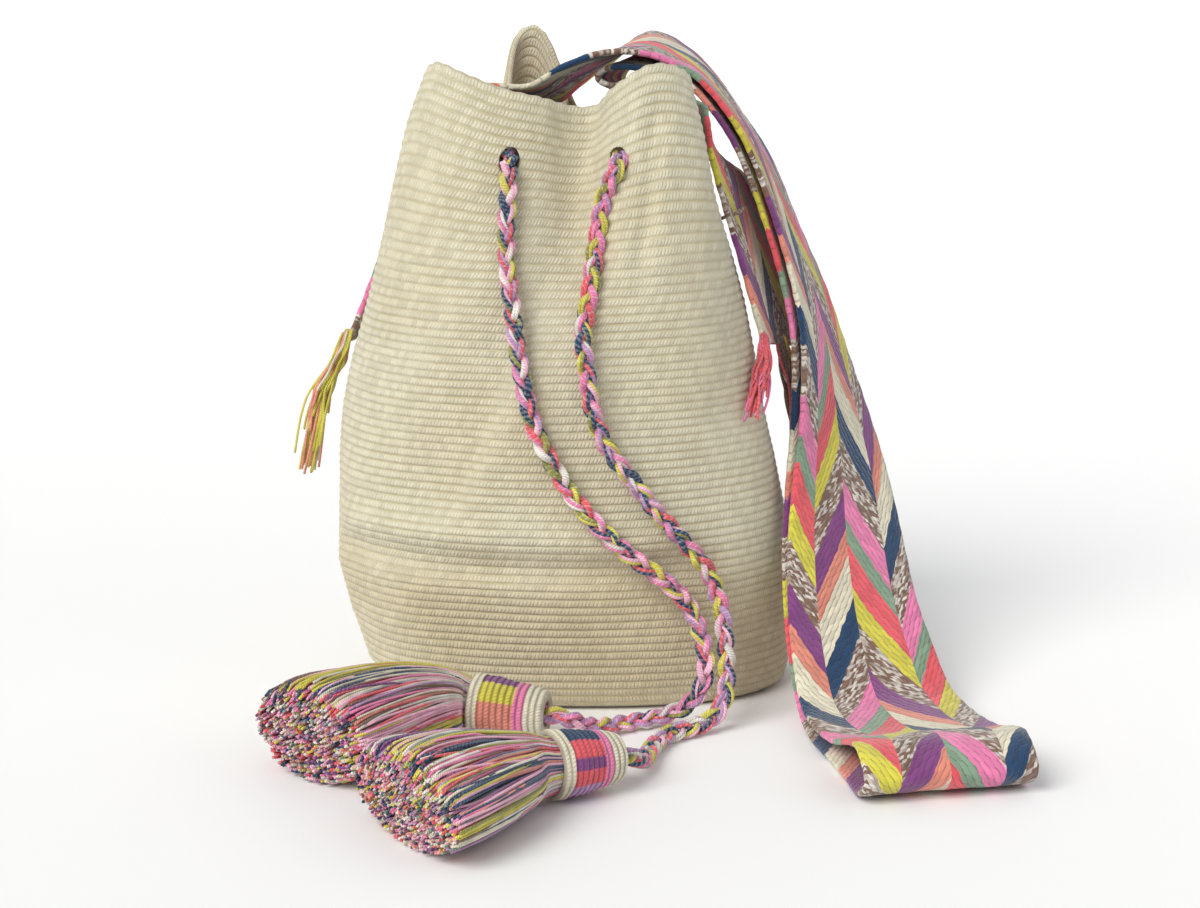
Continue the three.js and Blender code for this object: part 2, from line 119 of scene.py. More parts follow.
def chord_spline(points, steps=14):
    """A smooth line whose knots are spaced by the root of their distance."""
    p = np.array(points, float)
    p = np.vstack([2 * p[0] - p[1], p, 2 * p[-1] - p[-2]])
    out = []
    u = np.linspace(0, 1, steps, endpoint=False)[:, None]
    for i in range(1, len(p) - 2):
        d0, d1, d2 = [max(np.linalg.norm(p[k + 1] - p[k]) ** 0.5, 1e-6)
                      for k in (i - 1, i, i + 1)]
        t1 = (p[i] - p[i - 1]) / d0 - (p[i + 1] - p[i - 1]) / (d0 + d1) + (p[i + 1] - p[i]) / d1
        t2 = (p[i + 1] - p[i]) / d1 - (p[i + 2] - p[i]) / (d1 + d2) + (p[i + 2] - p[i + 1]) / d2
        out.append(hermite(p[i], p[i + 1], t1 * d1, t2 * d1, u))
    return np.vstack(out + [p[-2][None]])


def even_spline(rows, share):
    """Rows of values (any shape after the first axis) read at a share of the way along."""
    p = np.asarray(rows, float)
    p = np.concatenate([2 * p[:1] - p[1:2], p, 2 * p[-1:] - p[-2:-1]])
    x = np.clip(np.asarray(share, float), 0, 1) * (len(p) - 3)
    i = np.minimum(x.astype(int), len(p) - 4)
    u = (x - i).reshape(-1, *[1] * (p.ndim - 1))
    i = i + 1
    return hermite(p[i], p[i + 1], 0.5 * (p[i + 1] - p[i - 1]), 0.5 * (p[i + 2] - p[i]), u)


def spaced(line, step):
    """The line again with even steps, and how long it is."""
    along = np.concatenate([[0], np.cumsum(np.linalg.norm(np.diff(line, axis=0), axis=1))])
    at = np.linspace(0, along[-1], max(2, int(round(along[-1] / step)) + 1))
    return np.stack([np.interp(at, along, line[:, k]) for k in range(3)], axis=1), along[-1]


def turned_frames(line):
    """Two cross directions at each point, carried along the line without twisting."""
    tangent = unit(np.gradient(line, axis=0))
    side = np.zeros_like(line)
    start = np.cross(tangent[0], (0, 0, 1.0))
    side[0] = unit(start if np.linalg.norm(start) > 1e-3 else np.array([1.0, 0, 0]))
    for i in range(1, len(line)):
        s = side[i - 1] - tangent[i] * (side[i - 1] @ tangent[i])
        side[i] = s / max(np.linalg.norm(s), 1e-9)
    return side, np.cross(tangent, side)

# %% [markdown]
# ## Meshes from arrays
#
# Every yarn is a thin tube. Hundreds of curve objects with a bevel would do it, but one
# mesh per piece is lighter and can carry a colour on each of its corners. The tube builder
# takes many centre lines at once and writes one mesh, with a map that counts turns around
# the yarn and millimetres along it, so that a material can twist the plies.

# %% Mesh helpers
def mesh_object(name, points, faces, uv=None, colour=None, smooth_shade=True):
    """points in millimetres; uv and colour by vertex."""
    me = bpy.data.meshes.new(name)
    faces = faces.tolist() if hasattr(faces, "tolist") else faces
    me.from_pydata((np.asarray(points) * MM).tolist(), [], faces)
    me.update()
    corner = np.zeros(len(me.loops), np.int32)
    me.loops.foreach_get("vertex_index", corner)
    if uv is not None:
        layer = me.uv_layers.new(name="yarn")
        uv = np.asarray(uv, np.float32)
        layer.uv.foreach_set("vector", (uv[corner] if len(uv) != len(corner) else uv).ravel())
    if colour is not None:
        c = me.color_attributes.new("dye", "FLOAT_COLOR", "POINT")
        rgba = np.ones((len(me.vertices), 4), np.float32)
        rgba[:, :3] = colour
        c.data.foreach_set("color", rgba.ravel())
    me.polygons.foreach_set("use_smooth", np.full(len(me.polygons), smooth_shade))
    ob = bpy.data.objects.new(name, me)
    bpy.context.scene.collection.objects.link(ob)
    return ob


def tube_parts(line, radius, sides, dye, start=0.0):
    """Points, faces, map and dye of one capped tube."""
    n = len(line)
    radius = np.broadcast_to(np.asarray(radius, float), (n,))
    side, up = turned_frames(line)
    a = np.arange(sides + 1) / sides
    ring = (np.cos(a * 2 * np.pi)[None, :, None] * side[:, None]
            + np.sin(a * 2 * np.pi)[None, :, None] * up[:, None])
    points = (line[:, None] + ring * radius[:, None, None]).reshape(-1, 3)
    along = start + np.concatenate([[0], np.cumsum(np.linalg.norm(np.diff(line, axis=0), axis=1))])
    w = sides + 1
    uv = np.stack([np.broadcast_to(a, (n, w)), np.broadcast_to(along[:, None], (n, w))], -1)
    uv = uv.reshape(-1, 2)
    i, j = np.meshgrid(np.arange(n - 1), np.arange(sides), indexing="ij")
    q = np.stack([i * w + j, i * w + j + 1, (i + 1) * w + j + 1, (i + 1) * w + j], -1).reshape(-1, 4)
    tangent = unit(np.gradient(line, axis=0))
    ends = np.array([line[0] - tangent[0] * radius[0] * 0.35,
                     line[-1] + tangent[-1] * radius[-1] * 0.35])
    base = n * w
    tri = [[base, j + 1, j] for j in range(sides)]
    tri += [[base + 1, (n - 1) * w + j, (n - 1) * w + j + 1] for j in range(sides)]
    points = np.vstack([points, ends])
    uv = np.vstack([uv, [[0.5, along[0]], [0.5, along[-1]]]])
    dye = np.asarray(dye, float)
    if dye.ndim == 1:
        col = np.broadcast_to(dye, (len(points), 3))
    else:
        col = np.vstack([np.repeat(dye, w, axis=0), dye[:1], dye[-1:]])
    return points, q.tolist() + tri, uv, col


def tubes(name, parts):
    """One object from many tube_parts."""
    points, faces, uvs, cols, base = [], [], [], [], 0
    for p, f, uv, col in parts:
        points.append(p)
        faces.extend([[k + base for k in face] for face in f])
        uvs.append(uv)
        cols.append(col)
        base += len(p)
    ob = mesh_object(name, np.vstack(points), faces, np.vstack(uvs), np.vstack(cols))
    tris = sum(len(f) - 2 for f in faces)
    print(f"{name}: {len(parts)} yarns, {tris} triangles")
    return ob


def grid_faces(rows, cols):
    """Quads between rows of points; the last column meets the first again."""
    i, j = np.meshgrid(np.arange(rows - 1), np.arange(cols), indexing="ij")
    k = (j + 1) % cols
    corners = [i * cols + j, i * cols + k, (i + 1) * cols + k, (i + 1) * cols + j]
    return np.stack(corners, -1).reshape(-1, 4)

# %% [markdown]
# ## The body's shape
#
# The body is a round bucket standing on a soft flat base. Two tables describe it: the
# outline at each height, and the three lobes into which the drawstring gathers the mouth.
# A cloth simulation could fold the mouth, but it would not fold it the same way twice, and
# the eyelets have to stay where the cord runs. Blending from the round outline to the lobed
# one is steady and easy to follow.

# %% Body shape
RIM_Z = 288.0
WALL = 3.4
LEVELS = np.array([  # height, left edge, right edge, centre in depth, half depth
    (0, -80, 107, 0, 62), (3, -90, 112, 0, 68), (12, -100, 114, 0, 73), (38, -109, 112.5, 0, 79),
    (64, -115, 112.5, 0, 83), (90, -114.5, 110, 0, 81.5), (116, -113, 106, 0, 79.5),
    (142, -110, 100.5, 0, 78), (167, -105.5, 95.5, 0, 76.5), (192, -99.5, 89.5, 1, 74),
    (217, -93, 82, 3, 69), (242, -86, 73.5, 7, 62), (267, -78, 67, 10, 54), (291, -68, 61.5, 12, 47),
    (312, -63, 58, 13, 44)], float)
MOUTH = np.array([  # degrees round the body, x, y, rise above the rim's height
    (0, 61, -10, 13), (18, 56, 4, 1), (36, 40, 13, -1), (50, 24, 18, -2), (63, 17, 32, -10),
    (77, 9, 46, -10), (92, -10, 57, 32), (107, -26, 53, 30), (121, -30, 38, 4), (135, -27, 20, -8),
    (150, -42, 15, -5), (166, -57, 8, 0), (182, -67, -6, 15), (198, -61, -22, 23),
    (216, -46, -32, 18), (236, -27, -35, 11), (256, -7, -29, 6), (272, 12, -16, 1),
    (288, 22, -28, 11), (306, 36, -34, 21), (324, 48, -31, 23), (342, 58, -22, 19)], float)
GATHER_FROM = 0.56


def level(z):
    return [np.interp(z, LEVELS[:, 0], LEVELS[:, k]) for k in (1, 2, 3, 4)]


def mouth(deg):
    d = np.mod(deg, 360)
    n = len(MOUTH)
    i = np.clip(np.searchsorted(MOUTH[:, 0], d, side="right") - 1, 0, n - 1)
    here, after = MOUTH[i, 0], np.where(i < n - 1, MOUTH[(i + 1) % n, 0], 360)
    t = ((d - here) / (after - here))[..., None]
    p0, p1, p2, p3 = (MOUTH[(i + k) % n, 1:] for k in (-1, 0, 1, 2))
    return 0.5 * (2 * p1 + (p2 - p0) * t + (2 * p0 - 5 * p1 + 4 * p2 - p3) * t**2
                  + (-p0 + 3 * p1 - 3 * p2 + p3) * t**3)


def body_point(deg, v):
    """A point of the outer face, at an angle and a share v of the height."""
    deg, v = np.broadcast_arrays(np.asarray(deg, float), np.asarray(v, float))
    z = v * RIM_Z
    left, right, cy, hy = level(z)
    m = smooth(GATHER_FROM, 1, v)
    rim = mouth(deg)
    c, s = np.cos(np.radians(deg)), np.sin(np.radians(deg))
    square = mix(0.86, 1, smooth(0, 0.5, v))
    ex, ey = np.sign(c) * np.abs(c) ** square, np.sign(s) * np.abs(s) ** square
    ux = mix(ex, (rim[..., 0] + 3.5) / 64.5, m)
    uy = mix(ey, (rim[..., 1] - 12) / 47, m)
    x = (left + right) / 2 + (right - left) / 2 * ux
    return np.stack([x, cy + hy * uy, z + rim[..., 2] * m * m], -1)


def body_normal(deg, v):
    du = body_point(deg + 0.5, v) - body_point(deg - 0.5, v)
    lo = np.maximum(0.012, np.asarray(v, float) - 0.012)
    dv = body_point(deg, np.minimum(1, lo + 0.024)) - body_point(deg, lo)
    return unit(np.cross(du, dv))


def off_body(deg, v, d):
    return body_point(deg, v) + body_normal(deg, v) * np.asarray(d, float)[..., None]


def front_y(x, z):
    """How far forward the body's front reaches at a place, found by halving."""
    a, b = 180.0, 360.0       # degrees; x grows from one to the other
    for _ in range(40):
        mid = (a + b) / 2
        if body_point(mid, z / RIM_Z)[0] < x:
            a = mid
        else:
            b = mid
    return float(body_point(a, z / RIM_Z)[1])


print("rim reaches", np.round(body_point(np.arange(0, 360, 5.0), 1.0).max(0)), "mm")

# %% [markdown]
# ## Yarn colours and the ply of the yarn
#
# The bright yarns are dyed in a few clear colours, and some are spun from two of them. A
# yarn is two or three plies twisted together, so its face is crossed by slanted shadows.
# That twist is used by the drawstring, the tassels, the fringe and the sewing thread, so it
# is built once as a shader node group that takes the dye and gives back a colour and a
# height. The dye itself rides on the mesh as a colour for each point.

# %% Dyes
def linear(r, g, b):
    """A colour named as a paint shop would, 0 to 255, as light."""
    c = np.array([r, g, b]) / 255
    return np.where(c <= 0.04045, c / 12.92, ((c + 0.055) / 1.055) ** 2.4)


DYES = {name: linear(*rgb) for name, rgb in {
    "pink": (236, 130, 176), "light_pink": (246, 184, 208), "coral": (232, 92, 102),
    "purple": (132, 68, 130), "lavender": (190, 146, 192), "navy": (32, 66, 102),
    "yellow": (216, 206, 74), "olive": (150, 148, 66), "cream": (226, 219, 194),
    "sage": (132, 160, 134), "brown": (128, 98, 82), "grey": (178, 176, 176),
    "salmon": (226, 142, 122), "white": (236, 230, 220),
}.items()}
print(len(DYES), "dyes")


# %% Shader node helpers
def node_group(name, inputs, outputs):
    """An empty shader group with named sockets: (name, kind, value)."""
    tree = bpy.data.node_groups.new(name, "ShaderNodeTree")
    for label, kind, value in inputs:
        s = tree.interface.new_socket(name=label, in_out="INPUT", socket_type=kind)
        if value is not None:
            s.default_value = value
    for label, kind in outputs:
        tree.interface.new_socket(name=label, in_out="OUTPUT", socket_type=kind)
    return tree, tree.nodes.new("NodeGroupInput"), tree.nodes.new("NodeGroupOutput")


def put(tree, kind, **values):
    """A node with its properties and inputs set; an input may be a socket to link from."""
    node = tree.nodes.new(kind)
    for key, value in values.items():
        if key.startswith("i_"):
            label = key[2:]
            socket = node.inputs[int(label) if label.isdigit() else label.replace("_", " ")]
            if isinstance(value, bpy.types.NodeSocket):
                tree.links.new(value, socket)
            else:
                socket.default_value = value
        else:
            setattr(node, key, value)
    return node


def maths(tree, operation, a, b=0.0, c=None):
    extra = {} if c is None else {"i_2": c}
    return put(tree, "ShaderNodeMath", operation=operation, i_0=a, i_1=b, **extra).outputs[0]


def ramp(tree, value, low, high, to_low=0.0, to_high=1.0):
    """A soft step from to_low to to_high while the value goes from low to high."""
    return put(tree, "ShaderNodeMapRange", interpolation_type="SMOOTHSTEP",
               i_0=value, i_1=low, i_2=high, i_3=to_low, i_4=to_high).outputs[0]


def mix_colour(tree, factor, a, b):
    return put(tree, "ShaderNodeMix", data_type="RGBA", i_0=factor, i_6=a, i_7=b).outputs[2]


def rgba(c):
    return (*[float(x) for x in c], 1.0)


def noise(tree, scale, detail):
    """Cloudy grey that is fixed to the piece itself."""
    where = put(tree, "ShaderNodeTexCoord").outputs["Object"]
    return put(tree, "ShaderNodeTexNoise", i_Scale=scale, i_Detail=detail,
               i_Vector=where).outputs[0]


def cloth(name, rough, sheen, sheen_rough, gloss):
    """A new material of soft fibre: the material, its tree and its shader."""
    m = bpy.data.materials.new(name)
    m.use_nodes = True
    shader = m.node_tree.nodes["Principled BSDF"]
    shader.inputs["Roughness"].default_value = rough
    shader.inputs["Sheen Weight"].default_value = sheen
    shader.inputs["Sheen Roughness"].default_value = sheen_rough
    shader.inputs["Specular IOR Level"].default_value = gloss
    return m, m.node_tree, shader


def link_finish(tree, shader, group, strength, depth):
    """Links a group's colour and height to the shader; depth is in metres."""
    bump = put(tree, "ShaderNodeBump", i_Strength=strength, i_Distance=depth,
               i_Height=group.outputs["Height"])
    tree.links.new(bump.outputs[0], shader.inputs["Normal"])
    tree.links.new(group.outputs["Colour"], shader.inputs["Base Color"])


# %% The ply group
def build_ply():
    tree, gin, gout = node_group(
        "yarn_ply",
        [("Dye", "NodeSocketColor", (0.8, 0.8, 0.8, 1)), ("Map", "NodeSocketVector", None),
         ("Turn length", "NodeSocketFloat", 3.2), ("Pale fleck", "NodeSocketFloat", 0.15),
         ("Shadow", "NodeSocketFloat", 0.45)],
        [("Colour", "NodeSocketColor"), ("Height", "NodeSocketFloat")])
    calc = partial(maths, tree)
    xyz = put(tree, "ShaderNodeSeparateXYZ", i_0=gin.outputs["Map"])
    turns = calc("DIVIDE", xyz.outputs[1], gin.outputs["Turn length"])
    phase = calc("ADD", calc("MULTIPLY", xyz.outputs[0], 2.0), calc("MULTIPLY", turns, 2.0))
    wave = calc("ABSOLUTE", calc("SINE", calc("MULTIPLY", phase, math.pi)))
    groove = ramp(tree, wave, 0.0, 0.65)
    even = calc("GREATER_THAN", calc("FRACT", calc("MULTIPLY", phase, 0.5)), 0.5)
    spots = noise(tree, 900.0, 1.0)
    fleck = calc("MULTIPLY", calc("MULTIPLY", even, gin.outputs["Pale fleck"]),
                  ramp(tree, spots, 0.35, 0.7, 0.4, 1.3))
    pale = mix_colour(tree, fleck, gin.outputs["Dye"], (0.85, 0.83, 0.80, 1))
    dark = calc("MULTIPLY", calc("SUBTRACT", 1.0, groove), gin.outputs["Shadow"])
    shade = mix_colour(tree, dark, pale, (0.0, 0.0, 0.0, 1))
    tone = ramp(tree, noise(tree, 120.0, 2.0), 0.3, 0.7, 0.86, 1.1)
    value = put(tree, "ShaderNodeHueSaturation", i_Color=shade, i_Value=tone)
    tree.links.new(value.outputs[0], gout.inputs["Colour"])
    tree.links.new(groove, gout.inputs["Height"])
    return tree


PLY = build_ply()


def yarn_material(name, turn=3.2, fleck=0.15, shadow=0.45, relief=0.0004, colour=None):
    """Dyed yarn: the ply group over the mesh's own dye, or over one colour."""
    m, t, shader = cloth(name, 0.82, 0.35, 0.45, 0.25)
    ply = put(t, "ShaderNodeGroup", node_tree=PLY)
    ply.inputs["Turn length"].default_value = turn
    ply.inputs["Pale fleck"].default_value = fleck
    ply.inputs["Shadow"].default_value = shadow
    t.links.new(put(t, "ShaderNodeUVMap", uv_map="yarn").outputs[0], ply.inputs["Map"])
    if colour is None:
        dye = put(t, "ShaderNodeAttribute", attribute_name="dye")
        t.links.new(dye.outputs["Color"], ply.inputs["Dye"])
    else:
        ply.inputs["Dye"].default_value = rgba(colour)
    link_finish(t, shader, ply, 0.7, relief)
    return m


braid_yarn = yarn_material("braid_yarn", turn=2.6, fleck=0.22, shadow=0.32, relief=0.0003)
tassel_yarn = yarn_material("tassel_yarn", turn=2.4, fleck=0.12, shadow=0.32, relief=0.0003)
sewing_yarn = yarn_material("sewing_yarn", turn=2.2, fleck=0.3, colour=DYES["brown"])
print("yarn materials:", [m.name for m in bpy.data.materials if m.name.endswith("yarn")])

# %% [markdown]
# ## The drawstring
#
# The drawstring is one plait of three strands, each of four thin yarns, about a metre from
# tassel to tassel. It comes up the front, dips into the mouth through an eyelet, runs round
# behind the lobes and comes out again on the right. A twisted rope would be simpler, but a
# plait shows lobes that lean both ways, like an ear of wheat. So each strand swings from
# side to side a third of a turn after the one before, and rises and sinks twice as often, so
# that it passes over one strand and under the next.

# %% Drawstring route
CORD_D = 9.2
BACK_CAP = np.array([(-7, -123, 15), (-43, -113, 16)], float)
FRONT_CAP = np.array([(25, -189, 15), (-8, -210, 17)], float)


def on_front(rows):
    return [(x, front_y(x, z) - CORD_D / 2 - clear, z) for x, z, clear in rows]


cord_points = [
    mix(BACK_CAP[0], BACK_CAP[1], 0.16), BACK_CAP[0],
    (2, -124.5, 13.4), (14, -117, 7.5), (30, -103.5, 5), (48, -95, 6), (60, -93, 11), (67, -92.5, 22),
    (67.5, -91.5, 36),
    *on_front([(61, 54, 3), (52, 66, 3), (41.5, 75, 3), (31, 83, 3), (21, 92.5, 2.5), (9.5, 105, 2),
               (-0.5, 119, 2), (-8, 132, 1.5), (-15, 148, 1.2), (-20, 171, 1), (-24, 198, 1),
               (-27, 226, 1), (-26.5, 248, 1.4)]),
    (-26, -48, 262), (-26, -38, 268), (-27.5, -26, 269), (-29, -12, 269), (-27.5, 2, 268), (-25, 12, 267),
    (-28, 21, 266), (-34, 29, 265.5), (-35, 37, 265.5), (-29, 43, 266), (-18, 45, 267), (-5, 44, 267),
    (7, 42, 266), (18, 40, 265), (27, 35, 265), (28.5, 27, 265), (24, 18, 266), (20, 9, 267),
    (21, -3, 268), (25, -15, 268), (28, -26, 269), (27.5, -37, 268), (24.5, -48, 261),
    *on_front([(20, 251, 1.4), (16, 230, 1), (12.8, 208, 1), (9.6, 186, 1), (11.5, 168, 1.2),
               (14, 152, 1.4), (19, 138, 1.6), (26.5, 126, 2), (34.5, 116, 2.5), (43.5, 104, 3),
               (52, 94, 3), (60.5, 84, 4), (69, 73, 5), (74.5, 59, 8)]),
    (77, -87, 45), (78, -92, 30), (77, -98, 16), (71, -104, 7.5), (60, -112, 5), (48, -125, 5),
    (41, -146, 5.2), (37.5, -168, 7.5), (32, -183.5, 13), FRONT_CAP[0], mix(FRONT_CAP[0], FRONT_CAP[1], 0.16),
]
cord_line, cord_length = spaced(chord_spline(cord_points), 0.9)
print(f"drawstring: {cord_length:.0f} mm from cap to cap")

# %% Plait the drawstring
YARN_R = 0.98
PLAIT = 28.0            # millimetres of cord in which a strand comes back to its place
STRAND_R = 1.95
YARNS_IN_STRAND = 4
CROSS_RISE = 1.85       # how far a strand rises to pass over the next
YARN_TURN = 36.0        # millimetres in which the yarns of a strand turn round once
FAMILIES = [["pink", "light_pink", "white", "lavender"], ["navy", "yellow", "light_pink", "olive"],
            ["lavender", "pink", "navy", "coral"]]


def yarn_dyes(count, n, names, weights, run, seed):
    """For each yarn, a dye at each of n points; the dye changes after a run or so."""
    r = np.random.default_rng(seed)
    out = []
    for _ in range(count):
        col, i = np.zeros((n, 3)), 0
        while i < n:
            k = int(run * r.uniform(0.5, 1.6))
            col[i:i + k] = DYES[names[r.choice(len(names), p=weights)]] * r.uniform(0.85, 1.1)
            i += k
        out.append(np.clip(col, 0, 1))
    return out


def plait(line, outer_r, seed):
    """Three strands that cross by turns, each of a few yarns twisted together."""
    n = len(line)
    s = np.arange(n) * np.linalg.norm(line[1] - line[0])
    ahead = unit(np.gradient(line, axis=0))
    side = unit(np.cross(ahead, np.broadcast_to((0, -1, 0.4), ahead.shape)))
    up = np.cross(side, ahead)
    parts = []
    for strand, family in enumerate(FAMILIES):
        phase = 2 * np.pi * s / PLAIT + strand * 2 * np.pi / 3
        centre = (line + ((outer_r - STRAND_R) * np.sin(phase))[:, None] * side
                  + (CROSS_RISE * np.sin(2 * phase))[:, None] * up)
        even = np.full(len(family), 1 / len(family))
        dyes = yarn_dyes(YARNS_IN_STRAND, n, family, even, 60, seed + strand)
        for k in range(YARNS_IN_STRAND):
            a = 2 * np.pi * (k / YARNS_IN_STRAND + s / YARN_TURN)
            off = (STRAND_R - YARN_R) * (np.cos(a)[:, None] * side + np.sin(a)[:, None] * up)
            start = (4 * strand + k) * 1.7
            parts.append(tube_parts(centre + off, YARN_R, 6, dyes[k], start=start))
    return parts


drawstring = tubes("drawstring_braid", plait(cord_line, CORD_D / 2, 5))
drawstring.data.materials.append(braid_yarn)
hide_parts("drawstring")
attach(drawstring, "root")

# %% [markdown]
# ## The strap
#
# The strap is one band, over six centimetres wide and well over a metre long, sewn on at
# both ends. It could be a flat sheet that a cloth simulation drops over the bag. Here it is laid
# instead as a list of cross lines from the near edge to the far edge, each holding the
# band at one place of its route. Seven lanes run through them, and the band's two faces and
# rounded edges are built around those lanes.

# %% Strap route
STRAP_T = 3.6
LANES = 7
INNER_STEP = 5.2        # the returning run lies this far behind the outer one
ON = STRAP_T / 2 + 0.4


def on_body(near, far, v, d):
    w = np.linspace(0, 1, LANES)
    return off_body(mix(near, far, w), np.full(LANES, v), np.full(LANES, d))


def free(rows):
    w = np.linspace(0, 1, LANES)[:, None]
    return [mix(np.array(n, float), np.array(f, float), w) for n, f in rows]


def shifted(lines, i, d):
    before, after = lines[max(0, i - 1)], lines[min(len(lines) - 1, i + 1)]
    n = unit(np.cross(lines[i][-1] - lines[i][0], after[3] - before[3]))
    return lines[i] + n * d


def near_on(near, v, d, far):
    start = off_body(float(near), v, d)
    return mix(start, np.array(far, float), np.linspace(0, 1, LANES)[:, None])


left_end = [on_body(near, far, v, ON + gap) for near, far, v, gap in [
    (171, 130, 0.585, 3), (170, 132, 0.66, 1), (169, 134, 0.74, 0.6),
    (168, 137, 0.82, 0.6), (168, 139, 0.89, 0.8), (168, 140, 0.945, 1.2)]]
over_rim = free([((-54, 12, 294.5), (-30, 29, 288.5)), ((-41, 5, 298), (-19, 36, 287))])
hanging = free([
    ((-18, 2, 298), (-4, 43, 287)), ((-2, 0, 307), (9, 51, 296)), ((17, 0, 314), (24, 60, 306)),
    ((37, 1, 314), (43, 65, 319)), ((54, 4, 308), (61, 68, 312)), ((68, 6, 299), (76, 70, 298)),
    ((84, 8, 279), (91, 72, 277)), ((95, 8, 257), (105, 72, 255)), ((106.5, 4, 225), (120, 70, 219)),
    ((114.5, 0, 196), (134, 67, 188)), ((118.5, -5, 170), (144, 59, 160)),
    ((117.5, -14, 134), (155, 45, 127)), ((114, -25, 109), (163, 24, 100)), ((110.5, -40, 81), (169, -2, 73)), ((109.5, -56, 56), (174, -29, 48)),
    ((110.5, -72, 34), (180, -49, 30)), ((113.5, -94, 13), (187, -71, 13))])
on_floor = free([((117.5, -122, 9), (195, -100, 9)), ((124, -154, 11.5), (203, -131, 11.5)),
                 ((129, -182, 19.5), (208, -160, 19.5))])
fold = free([((131.5, -203, 22.5), (209.5, -183, 22.5)), ((134, -217, 12.5), (212, -197, 12.5)),
             ((131.5, -206, 3.4), (209.5, -186, 3.4))])
under = free([((128, -180, 2.7), (206, -158, 2.7)), ((123, -152, 2.7), (202, -129, 2.7)),
              ((116.5, -120, 2.9), (194, -97, 2.9))])
down = hanging + on_floor
rising = [shifted(down, i, INNER_STEP) for i in range(16, 3, -1)]
turn = free([((33, 6, 306.5), (42, 62, 311)), ((21, 7, 306), (33, 58, 304)), ((16, 8, 301.5), (29, 53, 298)),
             ((23, 9, 297.5), (31, 48, 293)), ((42, 9, 298), (36, 40, 290))])
right_end = [on_body(11, 44, 0.985, ON + 3.6), on_body(5, 44, 0.95, ON + 2.9),
             near_on(4, 0.89, ON + 0.6, (86, 54, 252)), near_on(1, 0.82, ON + 0.6, (100, 56, 230)),
             near_on(-3, 0.74, ON + 0.8, (110, 55, 206)), near_on(-6, 0.66, ON + 1.5, (117, 52, 181)),
             near_on(-8, 0.595, ON + 3, (121, 48, 161))]
route = np.array(left_end + over_rim + down + fold + under + rising + turn + right_end)
fine = even_spline(route, np.linspace(0, 1, 4000))
along = np.concatenate([[0], np.cumsum(np.linalg.norm(np.diff(fine[:, 3], axis=0), axis=1))])
STRAP_L = along[-1]
STRAP_W = np.linalg.norm(np.diff(fine, axis=1), axis=2).sum(1).mean()
print(f"strap: {STRAP_W:.0f} mm wide and {STRAP_L:.0f} mm long; {len(route)} cross lines")

# %% Strap mesh
ACROSS = 18


def strap_mesh():
    """Both faces and the two rounded edges, as one ring of points at each step."""
    n = int(STRAP_L / 1.5)
    at = np.interp(np.linspace(0, STRAP_L, n), along, np.linspace(0, 1, 4000))
    lanes = even_spline(route, at)                                   # n, 7, 3
    w = np.linspace(0, 1, ACROSS + 1)
    skin = even_spline(np.swapaxes(lanes, 0, 1), w)                  # across, n, 3
    skin = np.swapaxes(skin, 0, 1)
    du, dw = np.gradient(skin, axis=0), np.gradient(skin, axis=1)
    normal = unit(np.cross(du, dw))
    s = np.linspace(0, STRAP_L, n)[:, None]
    width = STRAP_W * w[None]
    swell = 0.15 * np.cos(2 * np.pi * width / (STRAP_W / 4))
    half = np.broadcast_to(STRAP_T / 2 - 0.2 + swell, (n, ACROSS + 1)).copy()
    half[:, [0, -1]] -= 0.45
    half += 0.14 * np.sin(s / 2.1 + width * 0.9)
    wave = 0.35 * np.sin(s / 21 + 0.6) * np.sin(width / 13)
    skin = skin + normal * wave[..., None]
    out = unit(dw)
    edge_bump = (0.5 + 0.35 * np.abs(np.sin(np.pi * s / 6.2)))[..., None]
    near = skin[:, :1] - out[:, :1] * edge_bump
    far = skin[:, -1:] + out[:, -1:] * edge_bump
    ring = np.concatenate([near, skin + normal * half[..., None], far,
                           (skin - normal * half[..., None])[:, ::-1]], axis=1)
    m = ring.shape[1]
    u_row = np.concatenate([[-0.008], w, [1.008], w[::-1]]) * STRAP_W
    faces = grid_faces(n, m)[:, ::-1]
    uv_s = np.broadcast_to(s, (n, m))
    uv = np.stack([np.broadcast_to(u_row, (n, m)), uv_s], -1).reshape(-1, 2)
    caps = [[int(k) for k in range(m)], [int((n - 1) * m + k) for k in range(m)][::-1]]
    return ring.reshape(-1, 3), faces.tolist() + caps, uv, n * m


points, faces, uv, count = strap_mesh()
strap = mesh_object("strap_weave", points, faces, uv)
print(f"strap mesh: {count} points")
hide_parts("strap")
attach(strap, "root")

# %% [markdown]
# ## The strap's pattern
#
# Four columns of slanted yarns stand side by side and lean by turns to the left and to the
# right, so that they meet in chevrons. The columns are not equally wide: the middle ones
# hold more threads. Colours follow the yarns: a cool set of purple, salmon, cream
# and navy, then mottled brown, then a warm set of pink, sage, coral and yellow, and brown
# again. A painted image would be the quick way, but the pattern is plain arithmetic on the
# strap's own map of millimetres across and along, and so it stays sharp at any distance.

# %% Strap pattern group
EDGES = (0.0, 0.205, 0.49, 0.81, 1.0)     # the four columns, as shares of the width
RISES = (29.0, 38.0, 42.0, 28.0)          # how far a yarn climbs while it crosses its column
STARTS = (542.0, 490.0, 589.0, 645.0)     # where a cool chevron begins on each column's inner side
REPEAT = 211.0                            # one cool and one warm chevron
YARN_STEP = 5.1
STITCH_LENGTH = 6.0
WOBBLE = 3.4                              # how far a hand-laid yarn strays, end to end
BAND_STARTS = (0, 0.20, 0.34, 0.57, 0.76)  # shares of half a repeat
COOL = ("purple", "salmon", "cream", "navy", "brown")
WARM = ("pink", "sage", "coral", "yellow", "brown")


def per_column(tree, above, values):
    """One value out of four, by the column the point lies in."""
    calc = partial(maths, tree)
    total = values[0]
    for k, flag in enumerate(above):
        total = calc("ADD", calc("MULTIPLY", flag, values[k + 1] - values[k]), total)
    return total


